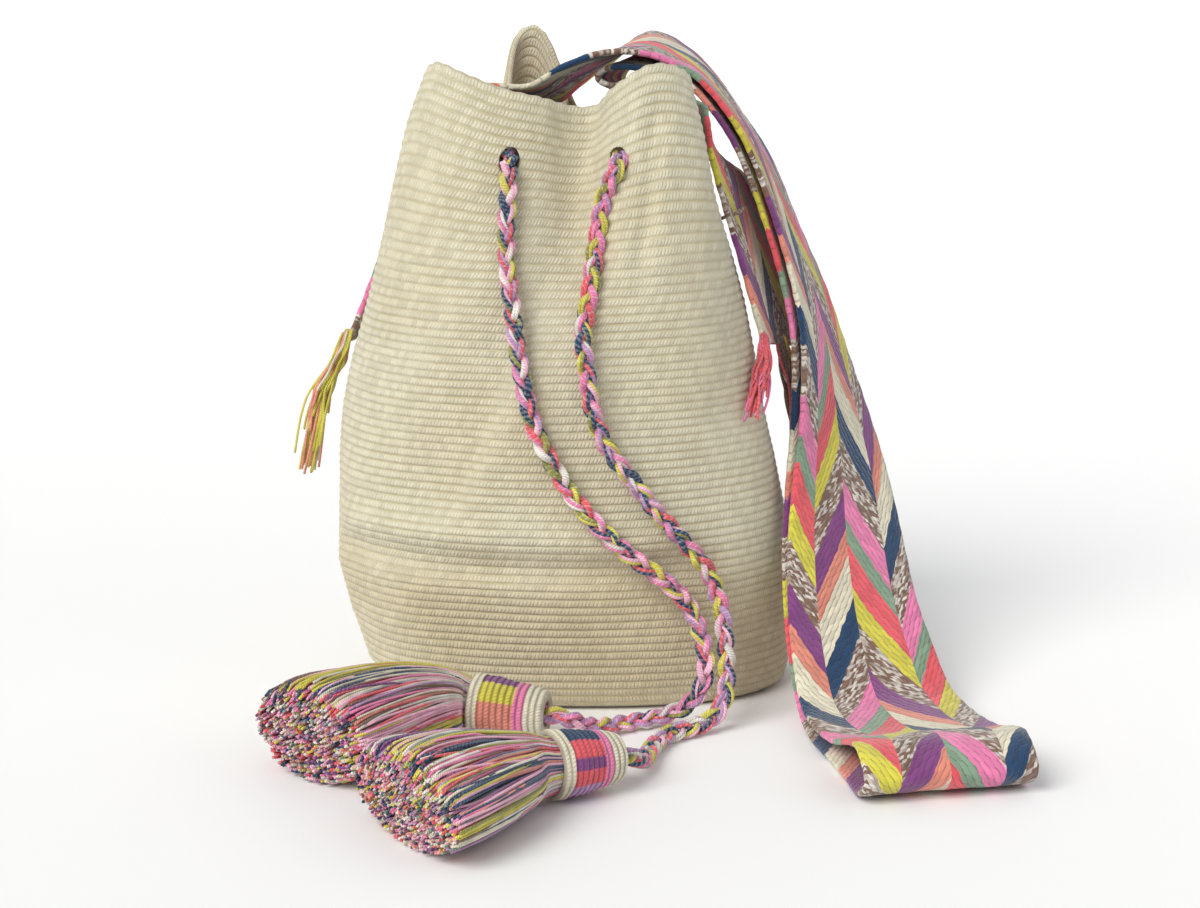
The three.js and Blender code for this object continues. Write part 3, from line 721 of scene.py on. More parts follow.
def colour_steps(tree, value, stops):
    """One dye after another, with hard edges between them."""
    node = put(tree, "ShaderNodeValToRGB", i_0=value)
    node.color_ramp.interpolation = "CONSTANT"
    el = node.color_ramp.elements
    while len(el) > 1:
        el.remove(el[-1])
    el[0].position, el[0].color = stops[0][0], rgba(stops[0][1])
    for at_share, colour in stops[1:]:
        e = el.new(at_share)
        e.color = rgba(colour)
    return node.outputs[0]


def colour_set(tree, place, names):
    """Four bright bands and the mottled brown one, over half a repeat."""
    return colour_steps(tree, place, [(at, DYES[n]) for at, n in zip(BAND_STARTS, names)])


# %% [markdown]
# ## Three steps to a weave
#
# The weave group first turns a place on the strap into a yarn and a place on that yarn. From
# those it makes the height of a stitch, which is a small cushion, and then the dye, with painted
# shade where the stitches dip. Keeping the steps apart makes each one easy to try with other
# numbers.

# %% Weave steps
def yarn_places(tree, across, along_strap, wobble):
    """The column, the climb since its first cool chevron, and the yarn's number and share."""
    calc = partial(maths, tree)
    above = [calc("GREATER_THAN", across, e) for e in EDGES[1:4]]
    column = calc("ADD", calc("ADD", above[0], above[1]), above[2])
    low = per_column(tree, above, EDGES[:4])
    wide = per_column(tree, above, [b - a for a, b in zip(EDGES, EDGES[1:])])
    x = calc("DIVIDE", calc("SUBTRACT", across, low), wide)
    diag = calc("ABSOLUTE", calc("SUBTRACT", x, calc("MODULO", column, 2.0)))
    climb = calc("MULTIPLY", diag, per_column(tree, above, RISES))
    y = calc("SUBTRACT", calc("SUBTRACT", along_strap, climb), per_column(tree, above, STARTS))
    y = calc("ADD", y, calc("MULTIPLY", calc("SUBTRACT", wobble, 0.5), WOBBLE))
    rows = calc("DIVIDE", y, YARN_STEP)
    return column, y, rows, calc("FLOOR", rows), calc("FRACT", rows)


def stitch_height(tree, run, over):
    """A cushion, high in the middle of the stitch, with its twisted plies laid over it."""
    calc = partial(maths, tree)
    a = calc("ABSOLUTE", calc("SUBTRACT", calc("MULTIPLY", over, 2.0), 1.0))
    b = calc("ABSOLUTE", calc("SUBTRACT", calc("MULTIPLY", calc("FRACT", run), 2.0), 1.0))
    sag = calc("ADD", calc("MULTIPLY", calc("POWER", a, 2.4), 0.75),
               calc("MULTIPLY", calc("POWER", b, 4.0), 0.55))
    cushion = calc("SQRT", calc("MAXIMUM", calc("SUBTRACT", 1.0, sag), 0.0))
    turn = calc("ADD", calc("MULTIPLY", run, 5.0), calc("MULTIPLY", over, 1.6))
    ply = calc("SINE", calc("MULTIPLY", turn, 2 * math.pi))
    return calc("ADD", cushion, calc("MULTIPLY", ply, 0.07))


def stitch_dye(tree, y, rows, run):
    """Cool and warm sets by turns; the brown band is flecked with white."""
    calc = partial(maths, tree)
    cycle = calc("FLOORED_MODULO", calc("DIVIDE", y, REPEAT), 1.0)
    place = calc("FRACT", calc("MULTIPLY", cycle, 2.0))
    dye = mix_colour(tree, calc("GREATER_THAN", cycle, 0.5),
                     colour_set(tree, place, COOL), colour_set(tree, place, WARM))
    cell = put(tree, "ShaderNodeCombineXYZ", i_0=calc("FLOOR", calc("MULTIPLY", rows, 2.0)),
               i_1=calc("FLOOR", calc("MULTIPLY", run, 3.0)))
    mottle = put(tree, "ShaderNodeTexWhiteNoise", noise_dimensions="2D",
                 i_Vector=cell.outputs[0])
    fleck = calc("MULTIPLY", calc("GREATER_THAN", place, BAND_STARTS[-1]),
                 ramp(tree, mottle.outputs[0], 0.35, 0.9, 0.0, 0.8))
    return mix_colour(tree, fleck, dye, rgba(DYES["white"]))


# %% Weave group
def build_weave():
    tree, gin, gout = node_group(
        "slanted_weave", [("Map", "NodeSocketVector", None)],
        [("Colour", "NodeSocketColor"), ("Height", "NodeSocketFloat")])
    calc = partial(maths, tree)
    xyz = put(tree, "ShaderNodeSeparateXYZ", i_0=gin.outputs["Map"])
    across = calc("DIVIDE", xyz.outputs[0], STRAP_W)
    wobble = noise(tree, 240.0, 1.0)
    column, y, rows, row, over = yarn_places(tree, across, xyz.outputs[1], wobble)
    run = calc("ADD", calc("DIVIDE", xyz.outputs[1], STITCH_LENGTH), calc("MULTIPLY", row, 0.42))
    run = calc("ADD", run, calc("MULTIPLY", over, 0.22))
    height = stitch_height(tree, run, over)
    dye = stitch_dye(tree, y, rows, run)
    cell = put(tree, "ShaderNodeCombineXYZ", i_1=calc("FLOOR", run),
               i_0=calc("ADD", row, calc("MULTIPLY", column, 31.0)))
    tone = put(tree, "ShaderNodeTexWhiteNoise", noise_dimensions="2D", i_Vector=cell.outputs[0])
    dye = put(tree, "ShaderNodeHueSaturation", i_Color=dye,
              i_Value=ramp(tree, tone.outputs[0], 0.0, 1.0, 0.88, 1.1)).outputs[0]
    # Painted shade: the dye darkens towards near black where the stitches dip between their neighbours.
    gap = ramp(tree, height, 0.1, 0.85, 0.6, 0.0)
    shade = mix_colour(tree, 0.7, dye, (0.03, 0.018, 0.018, 1))
    tree.links.new(mix_colour(tree, gap, dye, shade), gout.inputs["Colour"])
    tree.links.new(height, gout.inputs["Height"])
    return tree


def strap_material():
    m, t, shader = cloth("woven_strap", 0.85, 0.35, 0.5, 0.22)
    weave = put(t, "ShaderNodeGroup", node_tree=build_weave())
    t.links.new(put(t, "ShaderNodeUVMap", uv_map="yarn").outputs[0], weave.inputs["Map"])
    link_finish(t, shader, weave, 0.8, 0.0009)
    return m


strap.data.materials.append(strap_material())
print("strap pattern repeats every", REPEAT, "mm")

# %% [markdown]
# ## The body's soft folds
#
# A bag that stands empty sags: a crease runs round the lower third, one fold slants down
# from the left eyelet and shallow dents lie below the mouth. Sculpting them by hand would be
# quick, but could not be read or changed later. Each fold here is a small bell curve that
# moves the wall along its own normal.

# %% Body folds


def bell(away, width):
    return np.exp(-(away / width) ** 2)


def shaped(deg, v):
    """A point of the outer face, moved by the folds."""
    p = body_point(deg, v)
    n = body_normal(deg, v)
    d = np.mod(deg, 360)
    z = v * RIM_Z
    front = smooth(190, 215, d) * (1 - smooth(325, 350, d))
    crease = 83 + 1.5 * np.sin(np.radians(d) * 2 + 0.8)
    low = z - crease
    ledge = 2.4 * bell(low - 5, 8.0) - 5.0 * bell(low + 9, 9.0) - 1.6 * bell(low + 30, 22.0)
    reach = smooth(192, 205, d) * (1 - smooth(296, 318, d))
    beside = p[..., 0] + 28.6 - (z - 169) * 0.416
    slant = bell(beside, np.where(beside < 0, 26.0, 7.0)) * smooth(88, 112, z)
    slant = slant * (1 - smooth(180, 215, z)) * front
    seam = bell(p[..., 0] - 40 - (z - 240) * 0.16, 6.0) * smooth(195, 225, z)
    seam = seam * (1 - smooth(262, 285, z)) * front
    valley = bell(p[..., 0] - 2, 9.0) * smooth(205, 262, z) * front
    dents = -4.6 * slant - 3.6 * seam - 2.6 * valley
    soft = 0.8 * np.sin(np.radians(d) * 5 + z / 31) + 0.5 * np.sin(np.radians(d) * 9 - z / 17)
    soft = soft * smooth(0.03, 0.15, v) * (1 - smooth(0.9, 1, v))
    move = reach * ledge + dents + soft - 0.6
    return p + n * move[..., None]


deepest = np.linalg.norm(shaped(np.arange(200, 300, 2.0), 0.26)
                         - body_point(np.arange(200, 300, 2.0), 0.26), axis=-1).max()
print(f"under the crease the wall sinks by up to {deepest:.1f} mm")

# %% [markdown]
# ## The crocheted body
#
# Single crochet worked in rounds gives one rounded rib for each round, with a thin groove
# between, and each rib is crossed by small slanted stitches. The ribs are deep enough to be
# seen against the light and in the outline, so they are real shape here: four rings of
# points for each round. The stitches are a tenth of that, and a bump in the material is
# enough for them. The map counts stitches round the bag and rounds up it.

# %% Outer rounds
ROUND = 3.9
STITCH = 3.6
COLS = 236
PER_ROUND = 4
SCALLOP = 8.0           # width of one scallop of the rim
rounds = int(round(RIM_Z / ROUND))
v_out = np.linspace(0.0, 1.0, rounds * PER_ROUND + 1)
deg = 360 - np.arange(COLS) * 360.0 / COLS
deg_out, share_out = np.meshgrid(deg, v_out)
outer = shaped(deg_out, share_out)
rib = np.sin(np.pi * share_out * rounds) ** 2
rise = 0.5 * (rib - 0.75) * smooth(0.0, 0.02, share_out)
ribbed = outer + body_normal(deg_out, share_out) * rise[..., None]
step_len = np.linalg.norm(np.diff(np.concatenate([outer, outer[:, :1]], 1), axis=1), axis=2)
from_back = np.concatenate([np.zeros((len(v_out), 1)), np.cumsum(step_len, axis=1)[:, :-1]], 1)
front_col = int(np.argmin(np.abs(deg - 270)))
u_out = (from_back - from_back[:, front_col:front_col + 1]) / STITCH
ribbed[..., 2] += (1.1 * np.abs(np.sin(np.pi * u_out * STITCH / SCALLOP))
                   * smooth(0.985, 1, share_out))
print(f"body: {rounds} rounds, about {step_len.sum(1).max() / STITCH:.0f} stitches at the widest")

# %% Inside, rim and base
v_in = np.linspace(0.02, 1.0, 62)
deg_in, share_in = np.meshgrid(deg, v_in)
inner = shaped(deg_in, share_in) - body_normal(deg_in, share_in) * WALL
inner[..., 2] = np.maximum(inner[..., 2], WALL + 6 * share_in)
edge_mid = (ribbed[-1:] + inner[-1:]) / 2 + np.array([0, 0, 0.9])
base_rings = []
for k, share in enumerate(np.linspace(0.97, 0.04, 22)):
    ring = body_point(deg, 0.0) * [share, share, 0] + [10 * (1 - share), 0, 0]
    ring[:, 2] = 0.12 if k else 0.0
    base_rings.append(ring)
floor_rings = []
for share in np.linspace(0.08, 0.97, 14):
    ring = inner[0] * [share, share, 0] + [10 * (1 - share), 0, 0]
    ring[:, 2] = WALL + 1.6 * (1 - share)
    floor_rings.append(ring)

print(f"{len(base_rings)} rings under the base, {len(floor_rings)} on the inside floor")

# %% Join the rings
rows = [*base_rings[::-1], *ribbed, edge_mid[0], *inner[::-1], *floor_rings[::-1]]
u_rows = [u_out[0]] * len(base_rings) + list(u_out) + [u_out[-1]] * (1 + len(v_in))
u_rows += [u_out[0]] * len(floor_rings)
v_rows = [*np.linspace(-16, -0.5, len(base_rings)), *(v_out * rounds), rounds + 0.4,
          *(rounds + 0.8 + (1 - v_in[::-1]) * rounds),
          *np.linspace(2 * rounds + 1, 2 * rounds + 17, len(floor_rings))]
grid = np.array(rows)
u_all = np.array(u_rows)
v_all = np.broadcast_to(np.array(v_rows)[:, None], u_all.shape)
faces = grid_faces(len(grid), COLS)[:, ::-1]
wrap = np.concatenate([u_all, u_all[:, -1:] + (u_all[:, -1:] - u_all[:, -2:-1])], 1)
i, j = np.meshgrid(np.arange(len(grid) - 1), np.arange(COLS), indexing="ij")
corner_u = np.stack([wrap[i + 1, j], wrap[i + 1, j + 1], wrap[i, j + 1], wrap[i, j]], -1)
corner_v = np.stack([v_all[i + 1, 0], v_all[i + 1, 0], v_all[i, 0], v_all[i, 0]], -1)
corner_uv = np.stack([corner_u, corner_v], -1).reshape(-1, 2)
bottom_cap = list(range(COLS))
top_cap = [int((len(grid) - 1) * COLS + k) for k in range(COLS)][::-1]
corner_uv = np.vstack([corner_uv, np.zeros((2 * COLS, 2))])
body = mesh_object("bag_crochet", grid.reshape(-1, 3), faces.tolist() + [bottom_cap, top_cap],
                   corner_uv)
print(f"body mesh: {len(faces) * 2} triangles")

# %% [markdown]
# ## Eyelets
#
# The drawstring passes the wall in six places, between two rounds where a few stitches were
# left out. The holes could be modelled into the grid, but their places follow the cord, so
# the cord's own line cuts them: short fat tubes round it are taken away from the wall.

# %% Find the eyelets
SAME_HOLE = 7           # steps of the line; hits nearer than this belong to one crossing
HOLE_R = CORD_D / 2 + 0.45
HOLE_REACH = 9.0


def wall_crossings(ob, line):
    """Where a line goes through the wall: the middle of each crossing and its direction."""
    me = ob.data
    flat = np.zeros(len(me.vertices) * 3)
    me.vertices.foreach_get("co", flat)
    tree = BVHTree.FromPolygons(flat.reshape(-1, 3).tolist(),
                                [tuple(p.vertices) for p in me.polygons])
    hits = []
    for k in range(len(line) - 1):
        a, b = Vector(line[k] * MM), Vector(line[k + 1] * MM)
        place, _, _, _ = tree.ray_cast(a, (b - a).normalized(), (b - a).length)
        if place is not None:
            hits.append(k)
    groups = []
    for k in hits:
        if groups and k - groups[-1][-1] <= SAME_HOLE:
            groups[-1].append(k)
        else:
            groups.append([k])
    return [(line[int(np.mean(g))],
             unit(line[min(len(line) - 1, g[-1] + 3)] - line[max(0, g[0] - 3)])) for g in groups]


crossings = wall_crossings(body, cord_line)
print(f"{len(crossings)} eyelets at", [tuple(int(c) for c in p) for p, _ in crossings])

# %% Cut the eyelets
for n_cut, (place, way) in enumerate(crossings):
    line = place + way * np.linspace(-HOLE_REACH, HOLE_REACH, 7)[:, None]
    part = tube_parts(line, HOLE_R, 16, (0, 0, 0))
    cutter = mesh_object(f"eyelet_cutter_{n_cut}", part[0], part[1])
    merge = cutter.modifiers.new("weld", "WELD")
    merge.merge_threshold = 0.00001
    cut = body.modifiers.new(f"eyelet_{n_cut}", "BOOLEAN")
    cut.operation = "DIFFERENCE"
    cut.solver = "EXACT"
    cut.object = cutter
bpy.context.view_layer.update()
done = bpy.data.meshes.new_from_object(body.evaluated_get(bpy.context.evaluated_depsgraph_get()))
body.modifiers.clear()
body.data = done
for ob in [o for o in bpy.data.objects if o.name.startswith("eyelet_cutter")]:
    bpy.data.objects.remove(ob)
done.calc_loop_triangles()
print(f"body after the eyelets: {len(done.loop_triangles)} triangles")

# %% [markdown]
# ## The look of single crochet
#
# Seen close, each rib is a row of short slanted loops, pale on top and tan in the grooves
# where light does not reach. The group takes the stitch map and gives a colour and a
# height. The body and the caps of the tassels both use it.

# %% Crochet group
def build_crochet():
    tree, gin, gout = node_group(
        "single_crochet",
        [("Dye", "NodeSocketColor", (0.8, 0.8, 0.8, 1)), ("Map", "NodeSocketVector", None),
         ("Groove shade", "NodeSocketColor", (0.4, 0.3, 0.2, 1)), ("Depth", "NodeSocketFloat", 0.7)],
        [("Colour", "NodeSocketColor"), ("Height", "NodeSocketFloat")])
    calc = partial(maths, tree)
    shift = calc("MULTIPLY", calc("SUBTRACT", noise(tree, 170.0, 2.0), 0.5), 0.35)
    xyz = put(tree, "ShaderNodeSeparateXYZ", i_0=gin.outputs["Map"])
    v = calc("ADD", xyz.outputs[1], calc("MULTIPLY", shift, 0.35))
    up, row = calc("FRACT", v), calc("FLOOR", v)
    groove = ramp(tree, calc("SINE", calc("MULTIPLY", up, math.pi)), 0.0, 0.85)
    u = calc("ADD", calc("ADD", xyz.outputs[0], shift), calc("MULTIPLY", up, 0.42))
    u = calc("ADD", u, calc("MULTIPLY", row, 0.5))
    leg = calc("ABSOLUTE", calc("SINE", calc("MULTIPLY", u, 2.0 * math.pi)))
    leg = ramp(tree, leg, 0.0, 0.9)
    fine = noise(tree, 1500.0, 2.0)
    height = calc("ADD", calc("MULTIPLY", calc("MULTIPLY", groove, leg), 0.42),
                  calc("MULTIPLY", groove, 0.42))
    height = calc("ADD", height, calc("MULTIPLY", fine, 0.14))
    cell = put(tree, "ShaderNodeCombineXYZ", i_0=calc("FLOOR", u), i_1=row)
    white = put(tree, "ShaderNodeTexWhiteNoise", noise_dimensions="2D", i_Vector=cell.outputs[0])
    tone = ramp(tree, white.outputs[0], 0.0, 1.0, 0.92, 1.06)
    # Painted shade: the dye turns towards the groove-shade colour between rounds and between stitch legs.
    dark = calc("MULTIPLY", groove, ramp(tree, leg, 0.0, 1.0, 0.66, 1.0))
    dark = calc("MULTIPLY", calc("SUBTRACT", 1.0, dark), gin.outputs["Depth"])
    dark = calc("MULTIPLY", dark, ramp(tree, noise(tree, 34.0, 2.0), 0.3, 0.7, 0.55, 1.25))
    grain = ramp(tree, fine, 0.3, 0.7, 0.9, 1.08)
    base = put(tree, "ShaderNodeHueSaturation", i_Color=gin.outputs["Dye"],
               i_Value=calc("MULTIPLY", tone, grain))
    colour = mix_colour(tree, dark, base.outputs[0], gin.outputs["Groove shade"])
    tree.links.new(colour, gout.inputs["Colour"])
    tree.links.new(height, gout.inputs["Height"])
    return tree


CROCHET = build_crochet()


def patches_and_low_shade(tree, dye):
    """The dye with cloudy tan patches, and painted shade that turns it tan towards the bottom."""
    calc = partial(maths, tree)
    tan_share = ramp(tree, noise(tree, 14.0, 3.0), 0.35, 0.7)
    where = put(tree, "ShaderNodeTexCoord").outputs["Object"]
    height = put(tree, "ShaderNodeSeparateXYZ", i_0=where).outputs[2]
    # Painted shade: the bottom 5 to 9 centimetres are mixed further towards tan.
    tan_share = calc("ADD", calc("MULTIPLY", tan_share, 0.5), ramp(tree, height, 0.05, 0.09, 0.7, 0.0))
    return mix_colour(tree, tan_share, rgba(dye), rgba(dye * [0.90, 0.84, 0.76]))


def crochet_material(name, relief, depth, groove, dye=None):
    """Painted groove shade over one dye, with tan patches and low painted shade, or over the mesh's own dyes.
    """
    m, t, shader = cloth(name, 0.92, 0.25, 0.6, 0.15)
    stitches = put(t, "ShaderNodeGroup", node_tree=CROCHET)
    # depth and groove set the painted shade in the grooves: how strong it is and its tan.
    stitches.inputs["Depth"].default_value = depth
    stitches.inputs["Groove shade"].default_value = rgba(groove)
    t.links.new(put(t, "ShaderNodeUVMap", uv_map="yarn").outputs[0], stitches.inputs["Map"])
    if dye is None:
        own = put(t, "ShaderNodeAttribute", attribute_name="dye").outputs["Color"]
    else:
        own = patches_and_low_shade(t, dye)
    t.links.new(own, stitches.inputs["Dye"])
    link_finish(t, shader, stitches, 0.75, relief)
    return m


# 0.44 and the tan after it set the painted shade in the grooves: its strength and its colour.
cream_crochet = crochet_material("cream_crochet", 0.0011, 0.44, linear(172, 156, 106),
                                 linear(217, 211, 186))
body.data.materials.clear()
body.data.materials.append(cream_crochet)
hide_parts("bag_body")
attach(body, "root")
print("body finish:", cream_crochet.name)

# %% [markdown]
# ## Tassel caps
#
# Each tassel hangs in a small crocheted cup: cream at the cord, a pink round, a ring of
# colour blocks, and cream again where the yarns leave it. Blocks change the yarn part way
# round, so the dye depends on the angle as well as on the place along the cup. The cup is a
# turned profile like a thimble, with ribs round it and a short hole for the drawstring.

# %% Tassel caps
CAP_LENGTH, CAP_WALL, CAP_R_TOP, CAP_HOLE = 36.0, 2.4, 12.0, 6.1
CAP_ROUND, CAP_STITCHES = 3.0, 26.0
PINK_START, BLOCKS_START, BLOCKS_END = 9, 14, 31
CAP_OUTLINE = [(0, 9), (1, 11.2), (3.2, 12), (15.1, 13.75), (25.9, 15.5), (36, 15.5)]


def axis_frame(cap):
    a = unit(cap[1] - cap[0])
    side = unit(np.cross((0, 0, 1.0), a))
    return a, side, np.cross(a, side)


def cap_dye(t, ang, blocks):
    """Cream at the cord, a pink ring, a ring of blocks, and cream again at the skirt."""
    if t < PINK_START or t > BLOCKS_END:
        return np.broadcast_to(DYES["cream"], (len(ang), 3))
    if t < BLOCKS_START:
        return np.broadcast_to(DYES["pink"], (len(ang), 3))
    return np.array([DYES[next(c for end, c in blocks if a <= end)] for a in ang])


def cap_profile():
    """Radius and place along the cup: down the outside, round the lip and up the inside."""
    profile = [(CAP_HOLE, 2.4), (CAP_HOLE, 0.9), (7.6, -0.1)]
    for t in np.linspace(0, CAP_LENGTH, 96):
        r = float(np.interp(t, *zip(*CAP_OUTLINE)))
        ribs = 0.6 * abs(math.sin(math.pi * t / CAP_ROUND))
        profile.append((r - 0.6 + ribs + (0.3 if t > BLOCKS_END else 0.0), float(t)))
    profile += [(r - CAP_WALL, t) for t, r in CAP_OUTLINE[:1:-1]]
    profile[-1] = (12.0 - CAP_WALL, 4.0)
    return profile + [(CAP_HOLE, 2.9)]


def cap_mesh(name, cap, blocks):
    a, side, up = axis_frame(cap)
    profile = cap_profile()
    n, m = len(profile), 84
    ang = np.arange(m) * 2 * np.pi / m
    points, dye = [], []
    for r, t in profile:
        wob = 1 + 0.012 * np.sin(3 * ang + t / 4) + 0.01 * np.sin(7 * ang - t / 2)
        rr = r * np.where(r > 10, wob, 1)
        p = cap[0] + a * t + rr[:, None] * (np.cos(ang)[:, None] * side + np.sin(ang)[:, None] * up)
        points.append(p)
        dye.append(cap_dye(t, np.degrees(ang), blocks))
    faces = grid_faces(n, m)
    last = grid_faces(2, m)
    close = np.where(last >= m, last - m, last + (n - 1) * m)
    i, j = np.meshgrid(np.arange(n - 1), np.arange(m), indexing="ij")
    count = np.array([t for _, t in profile]) / CAP_ROUND
    cu = np.stack([j, j + 1, j + 1, j], -1) / m * CAP_STITCHES
    cv = np.stack([count[i], count[i], count[i + 1], count[i + 1]], -1)
    cuv = np.stack([cu, cv], -1).reshape(-1, 2)
    cuv = np.vstack([cuv, np.zeros((4 * m, 2))])
    ob = mesh_object(name, np.vstack(points), np.vstack([faces, close]), cuv, np.vstack(dye))
    ob.data.materials.append(cap_crochet)
    return ob


# Painted shade in the cap's grooves: half strength, in a dark brown.
cap_crochet = crochet_material("cap_crochet", 0.0010, 0.5, linear(60, 40, 40))
back_blocks = [  # where each block ends, in degrees round the cap
    (28, "salmon"), (72, "yellow"), (122, "purple"), (160, "pink"), (205, "navy"),
    (250, "coral"), (300, "purple"), (330, "pink"), (361, "salmon")]
front_blocks = [
    (2, "coral"), (22, "purple"), (58, "coral"), (118, "navy"), (160, "pink"), (205, "purple"),
    (250, "yellow"), (300, "purple"), (330, "lavender"), (361, "coral")]
cap_back = cap_mesh("cap_back_crochet", BACK_CAP, back_blocks)
cap_front = cap_mesh("cap_front_crochet", FRONT_CAP, front_blocks)
for cap_ob, node in ((cap_back, "tassel_cap_back"), (cap_front, "tassel_cap_front")):
    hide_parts(node)
    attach(cap_ob, "root")
print("caps:", cap_back.name, cap_front.name)

# %% [markdown]
# ## Tassel skirts
#
# A skirt is a thick bunch of cut yarns, well over a thousand of them. A particle system could
# grow them, but each yarn here has to start in the cap, spread, lie on the ones below and
# end in a cut face, so each is a tube of its own. Its place in the bunch stays the same from
# neck to cut, and the bunch's own outline, given at a few places, carries it outward. Half
# of the yarns share a dye with their neighbours, as if wound together, and the others are
# mixed in. Yarns deep in the bunch are only built near the cut, where they can be seen.

# %% Tassel skirts
# Each station: middle (x, y, z), heading (x, y), half width and half height of the bunch.
BACK_STATIONS = [
    (-50, -115, 18, -1, -0.15, 17, 16), (-62, -122, 20, -1, -0.5, 24, 19),
    (-80, -139, 22, -0.85, -0.75, 31, 22), (-98, -161, 23, -0.8, -0.8, 36, 23.5),
    (-110, -176, 23, -0.78, -0.8, 38, 23), (-115, -182, 22, -0.78, -0.8, 36, 20)]
FRONT_STATIONS = [
    (-14, -214, 18, -1, -0.7, 17, 16), (-23, -223, 19, -1, -0.9, 25, 18),
    (-38, -239, 21, -0.9, -0.75, 36, 21), (-52, -254, 21.5, -0.88, -0.6, 44, 22),
    (-62, -264, 21, -0.86, -0.52, 48, 21), (-66, -268, 19, -0.86, -0.52, 46, 18)]
TASSEL_DYES = {"pink": 12, "light_pink": 15, "coral": 11, "purple": 7, "lavender": 4,
               "navy": 14, "yellow": 9, "cream": 16, "sage": 4, "brown": 7, "grey": 5,
               "salmon": 7, "white": 5, "olive": 2}
OUTSIDE = 0.80          # beyond this share of the radius a yarn is seen along its length


def bunch(cap, stations):
    """Middle, side, up and half sizes of the bunch, from inside the cap to the cut."""
    a = axis_frame(cap)[0]
    centres = [cap[0] + a * t for t in (12.5, 16, 26, 37)]
    heads = [a] * 4
    halves = [(7.2, 7.2), (8.0, 8.0), (12.2, 12.2), (12.8, 12.8)]
    for x, y, z, dx, dy, half_width, half_height in stations:
        centres.append(np.array([x, y, z], float))
        heads.append(unit(np.array([dx, dy, 0.0])))
        halves.append((half_width - 0.5, half_height - 0.5))
    centres, heads, halves = np.array(centres), np.array(heads), np.array(halves, float)
    sides = unit(np.cross((0, 0, 1.0), heads))
    return centres, sides, np.cross(heads, sides), halves


def skirt(name, cap, stations, seed, count):
    r = np.random.default_rng(seed)
    names = list(TASSEL_DYES)
    weights = np.array(list(TASSEL_DYES.values()), float)
    weights /= weights.sum()
    outline = bunch(cap, stations)
    spots = r.uniform(-1, 1, (170, 2))
    spot_dye = r.choice(len(names), size=len(spots), p=weights)
    parts = []
    golden = math.pi * (3 - math.sqrt(5))
    for k in range(count):
        rho = math.sqrt((k + 0.5) / count)
        phi = k * golden + r.normal(0, 0.05)
        outside = rho > OUTSIDE
        place = np.array([rho * math.cos(phi), rho * math.sin(phi)])
        if r.random() < 0.5:
            pick = spot_dye[np.argmin(np.hypot(*(spots - place).T))]
        else:
            pick = r.choice(len(names), p=weights)
        dye = np.clip(DYES[names[pick]] * r.uniform(0.86, 1.14), 0, 1)
        steps = 20 if outside else 8
        end = 1.0 - abs(r.normal(0, 0.035)) - (r.uniform(0, 0.06) if outside else 0.0)
        share = np.linspace(0.0 if outside else 0.45, end, steps)
        middle, side, up, half = (even_spline(q, share) for q in outline)
        stray = 3.4 if r.random() < 0.12 else 1.0
        drift = r.normal(0, 0.09, 2) * stray
        curl = r.uniform(0, 6.3, 2)
        amp = 0.035 * smooth(0.3, 1.0, share) * stray ** 0.5
        px, py = [place[q] + drift[q] * smooth(0.4, 1, share)
                  + amp * np.sin(share * r.uniform(6, 12) + curl[q]) for q in (0, 1)]
        reach = np.maximum(np.hypot(px, py), 1e-6)
        limit = np.minimum(r.uniform(0.96, 1.02), reach) / reach
        px, py = px * limit, py * limit
        line = middle + side * (px * half[:, 0])[:, None] + up * (py * half[:, 1])[:, None]
        radius = r.uniform(0.6, 0.8)
        line[:, 2] = np.maximum(line[:, 2], radius + 0.4)
        parts.append(tube_parts(line, radius, 5 if outside else 4, dye,
                                start=r.uniform(0, 9)))
    ob = tubes(name, parts)
    ob.data.materials.append(tassel_yarn)
    return ob


skirt_back = skirt("skirt_back_yarns", BACK_CAP, BACK_STATIONS, 3, 1350)
skirt_front = skirt("skirt_front_yarns", FRONT_CAP, FRONT_STATIONS, 8, 1500)
for ob, node in ((skirt_back, "tassel_skirt_back"), (skirt_front, "tassel_skirt_front")):
    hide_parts(node)
    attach(ob, "root")

# %% [markdown]
# ## Bindings and sewing threads
#
# The neck of each skirt is wound with thread inside its cap, and a running stitch holds each
# end of the strap to the wall. They are hardly seen, but without them nothing would hold.

# %% Bindings and stitches
def winding(name, cap, node):
    a, side, up = axis_frame(cap)
    turns = np.linspace(0, 3.0, 90)
    ang = turns * 2 * np.pi
    r = (CAP_R_TOP - CAP_WALL - 0.4) * 0.8 + 0.75
    round_neck = r * (np.cos(ang)[:, None] * side + np.sin(ang)[:, None] * up)
    line = cap[0] + a * (CAP_LENGTH * 0.39 - 1.1 + 0.75 * turns)[:, None] + round_neck
    ob = tubes(name, [tube_parts(line, 0.45, 6, DYES["cream"])])
    ob.data.materials.append(binding_yarn)
    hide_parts(node)
    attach(ob, "root")
    return ob


def running_stitch(name, near, far, extra_near, extra_far, node):
    """A thread from one angle to another, over the strap and under the wall by turns."""
    out_d, in_d = STRAP_T + 0.4 + 0.8 + 1.2, -WALL - 0.8 - 1.4
    pts, spans = [], 5
    for k in range(spans):
        d = out_d + mix(extra_near, extra_far, k / (spans - 1)) if k % 2 == 0 else in_d
        for share in (0.12, 0.5, 0.88):
            pts.append(off_body(mix(near, far, (k + share) / spans), 0.8, d))
    line, length = spaced(chord_spline(pts), 0.8)
    ob = tubes(name, [tube_parts(line, 0.8, 6, DYES["brown"])])
    ob.data.materials.append(sewing_yarn)
    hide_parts(node)
    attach(ob, "root")
    print(f"{name}: {length:.0f} mm of thread")
    return ob


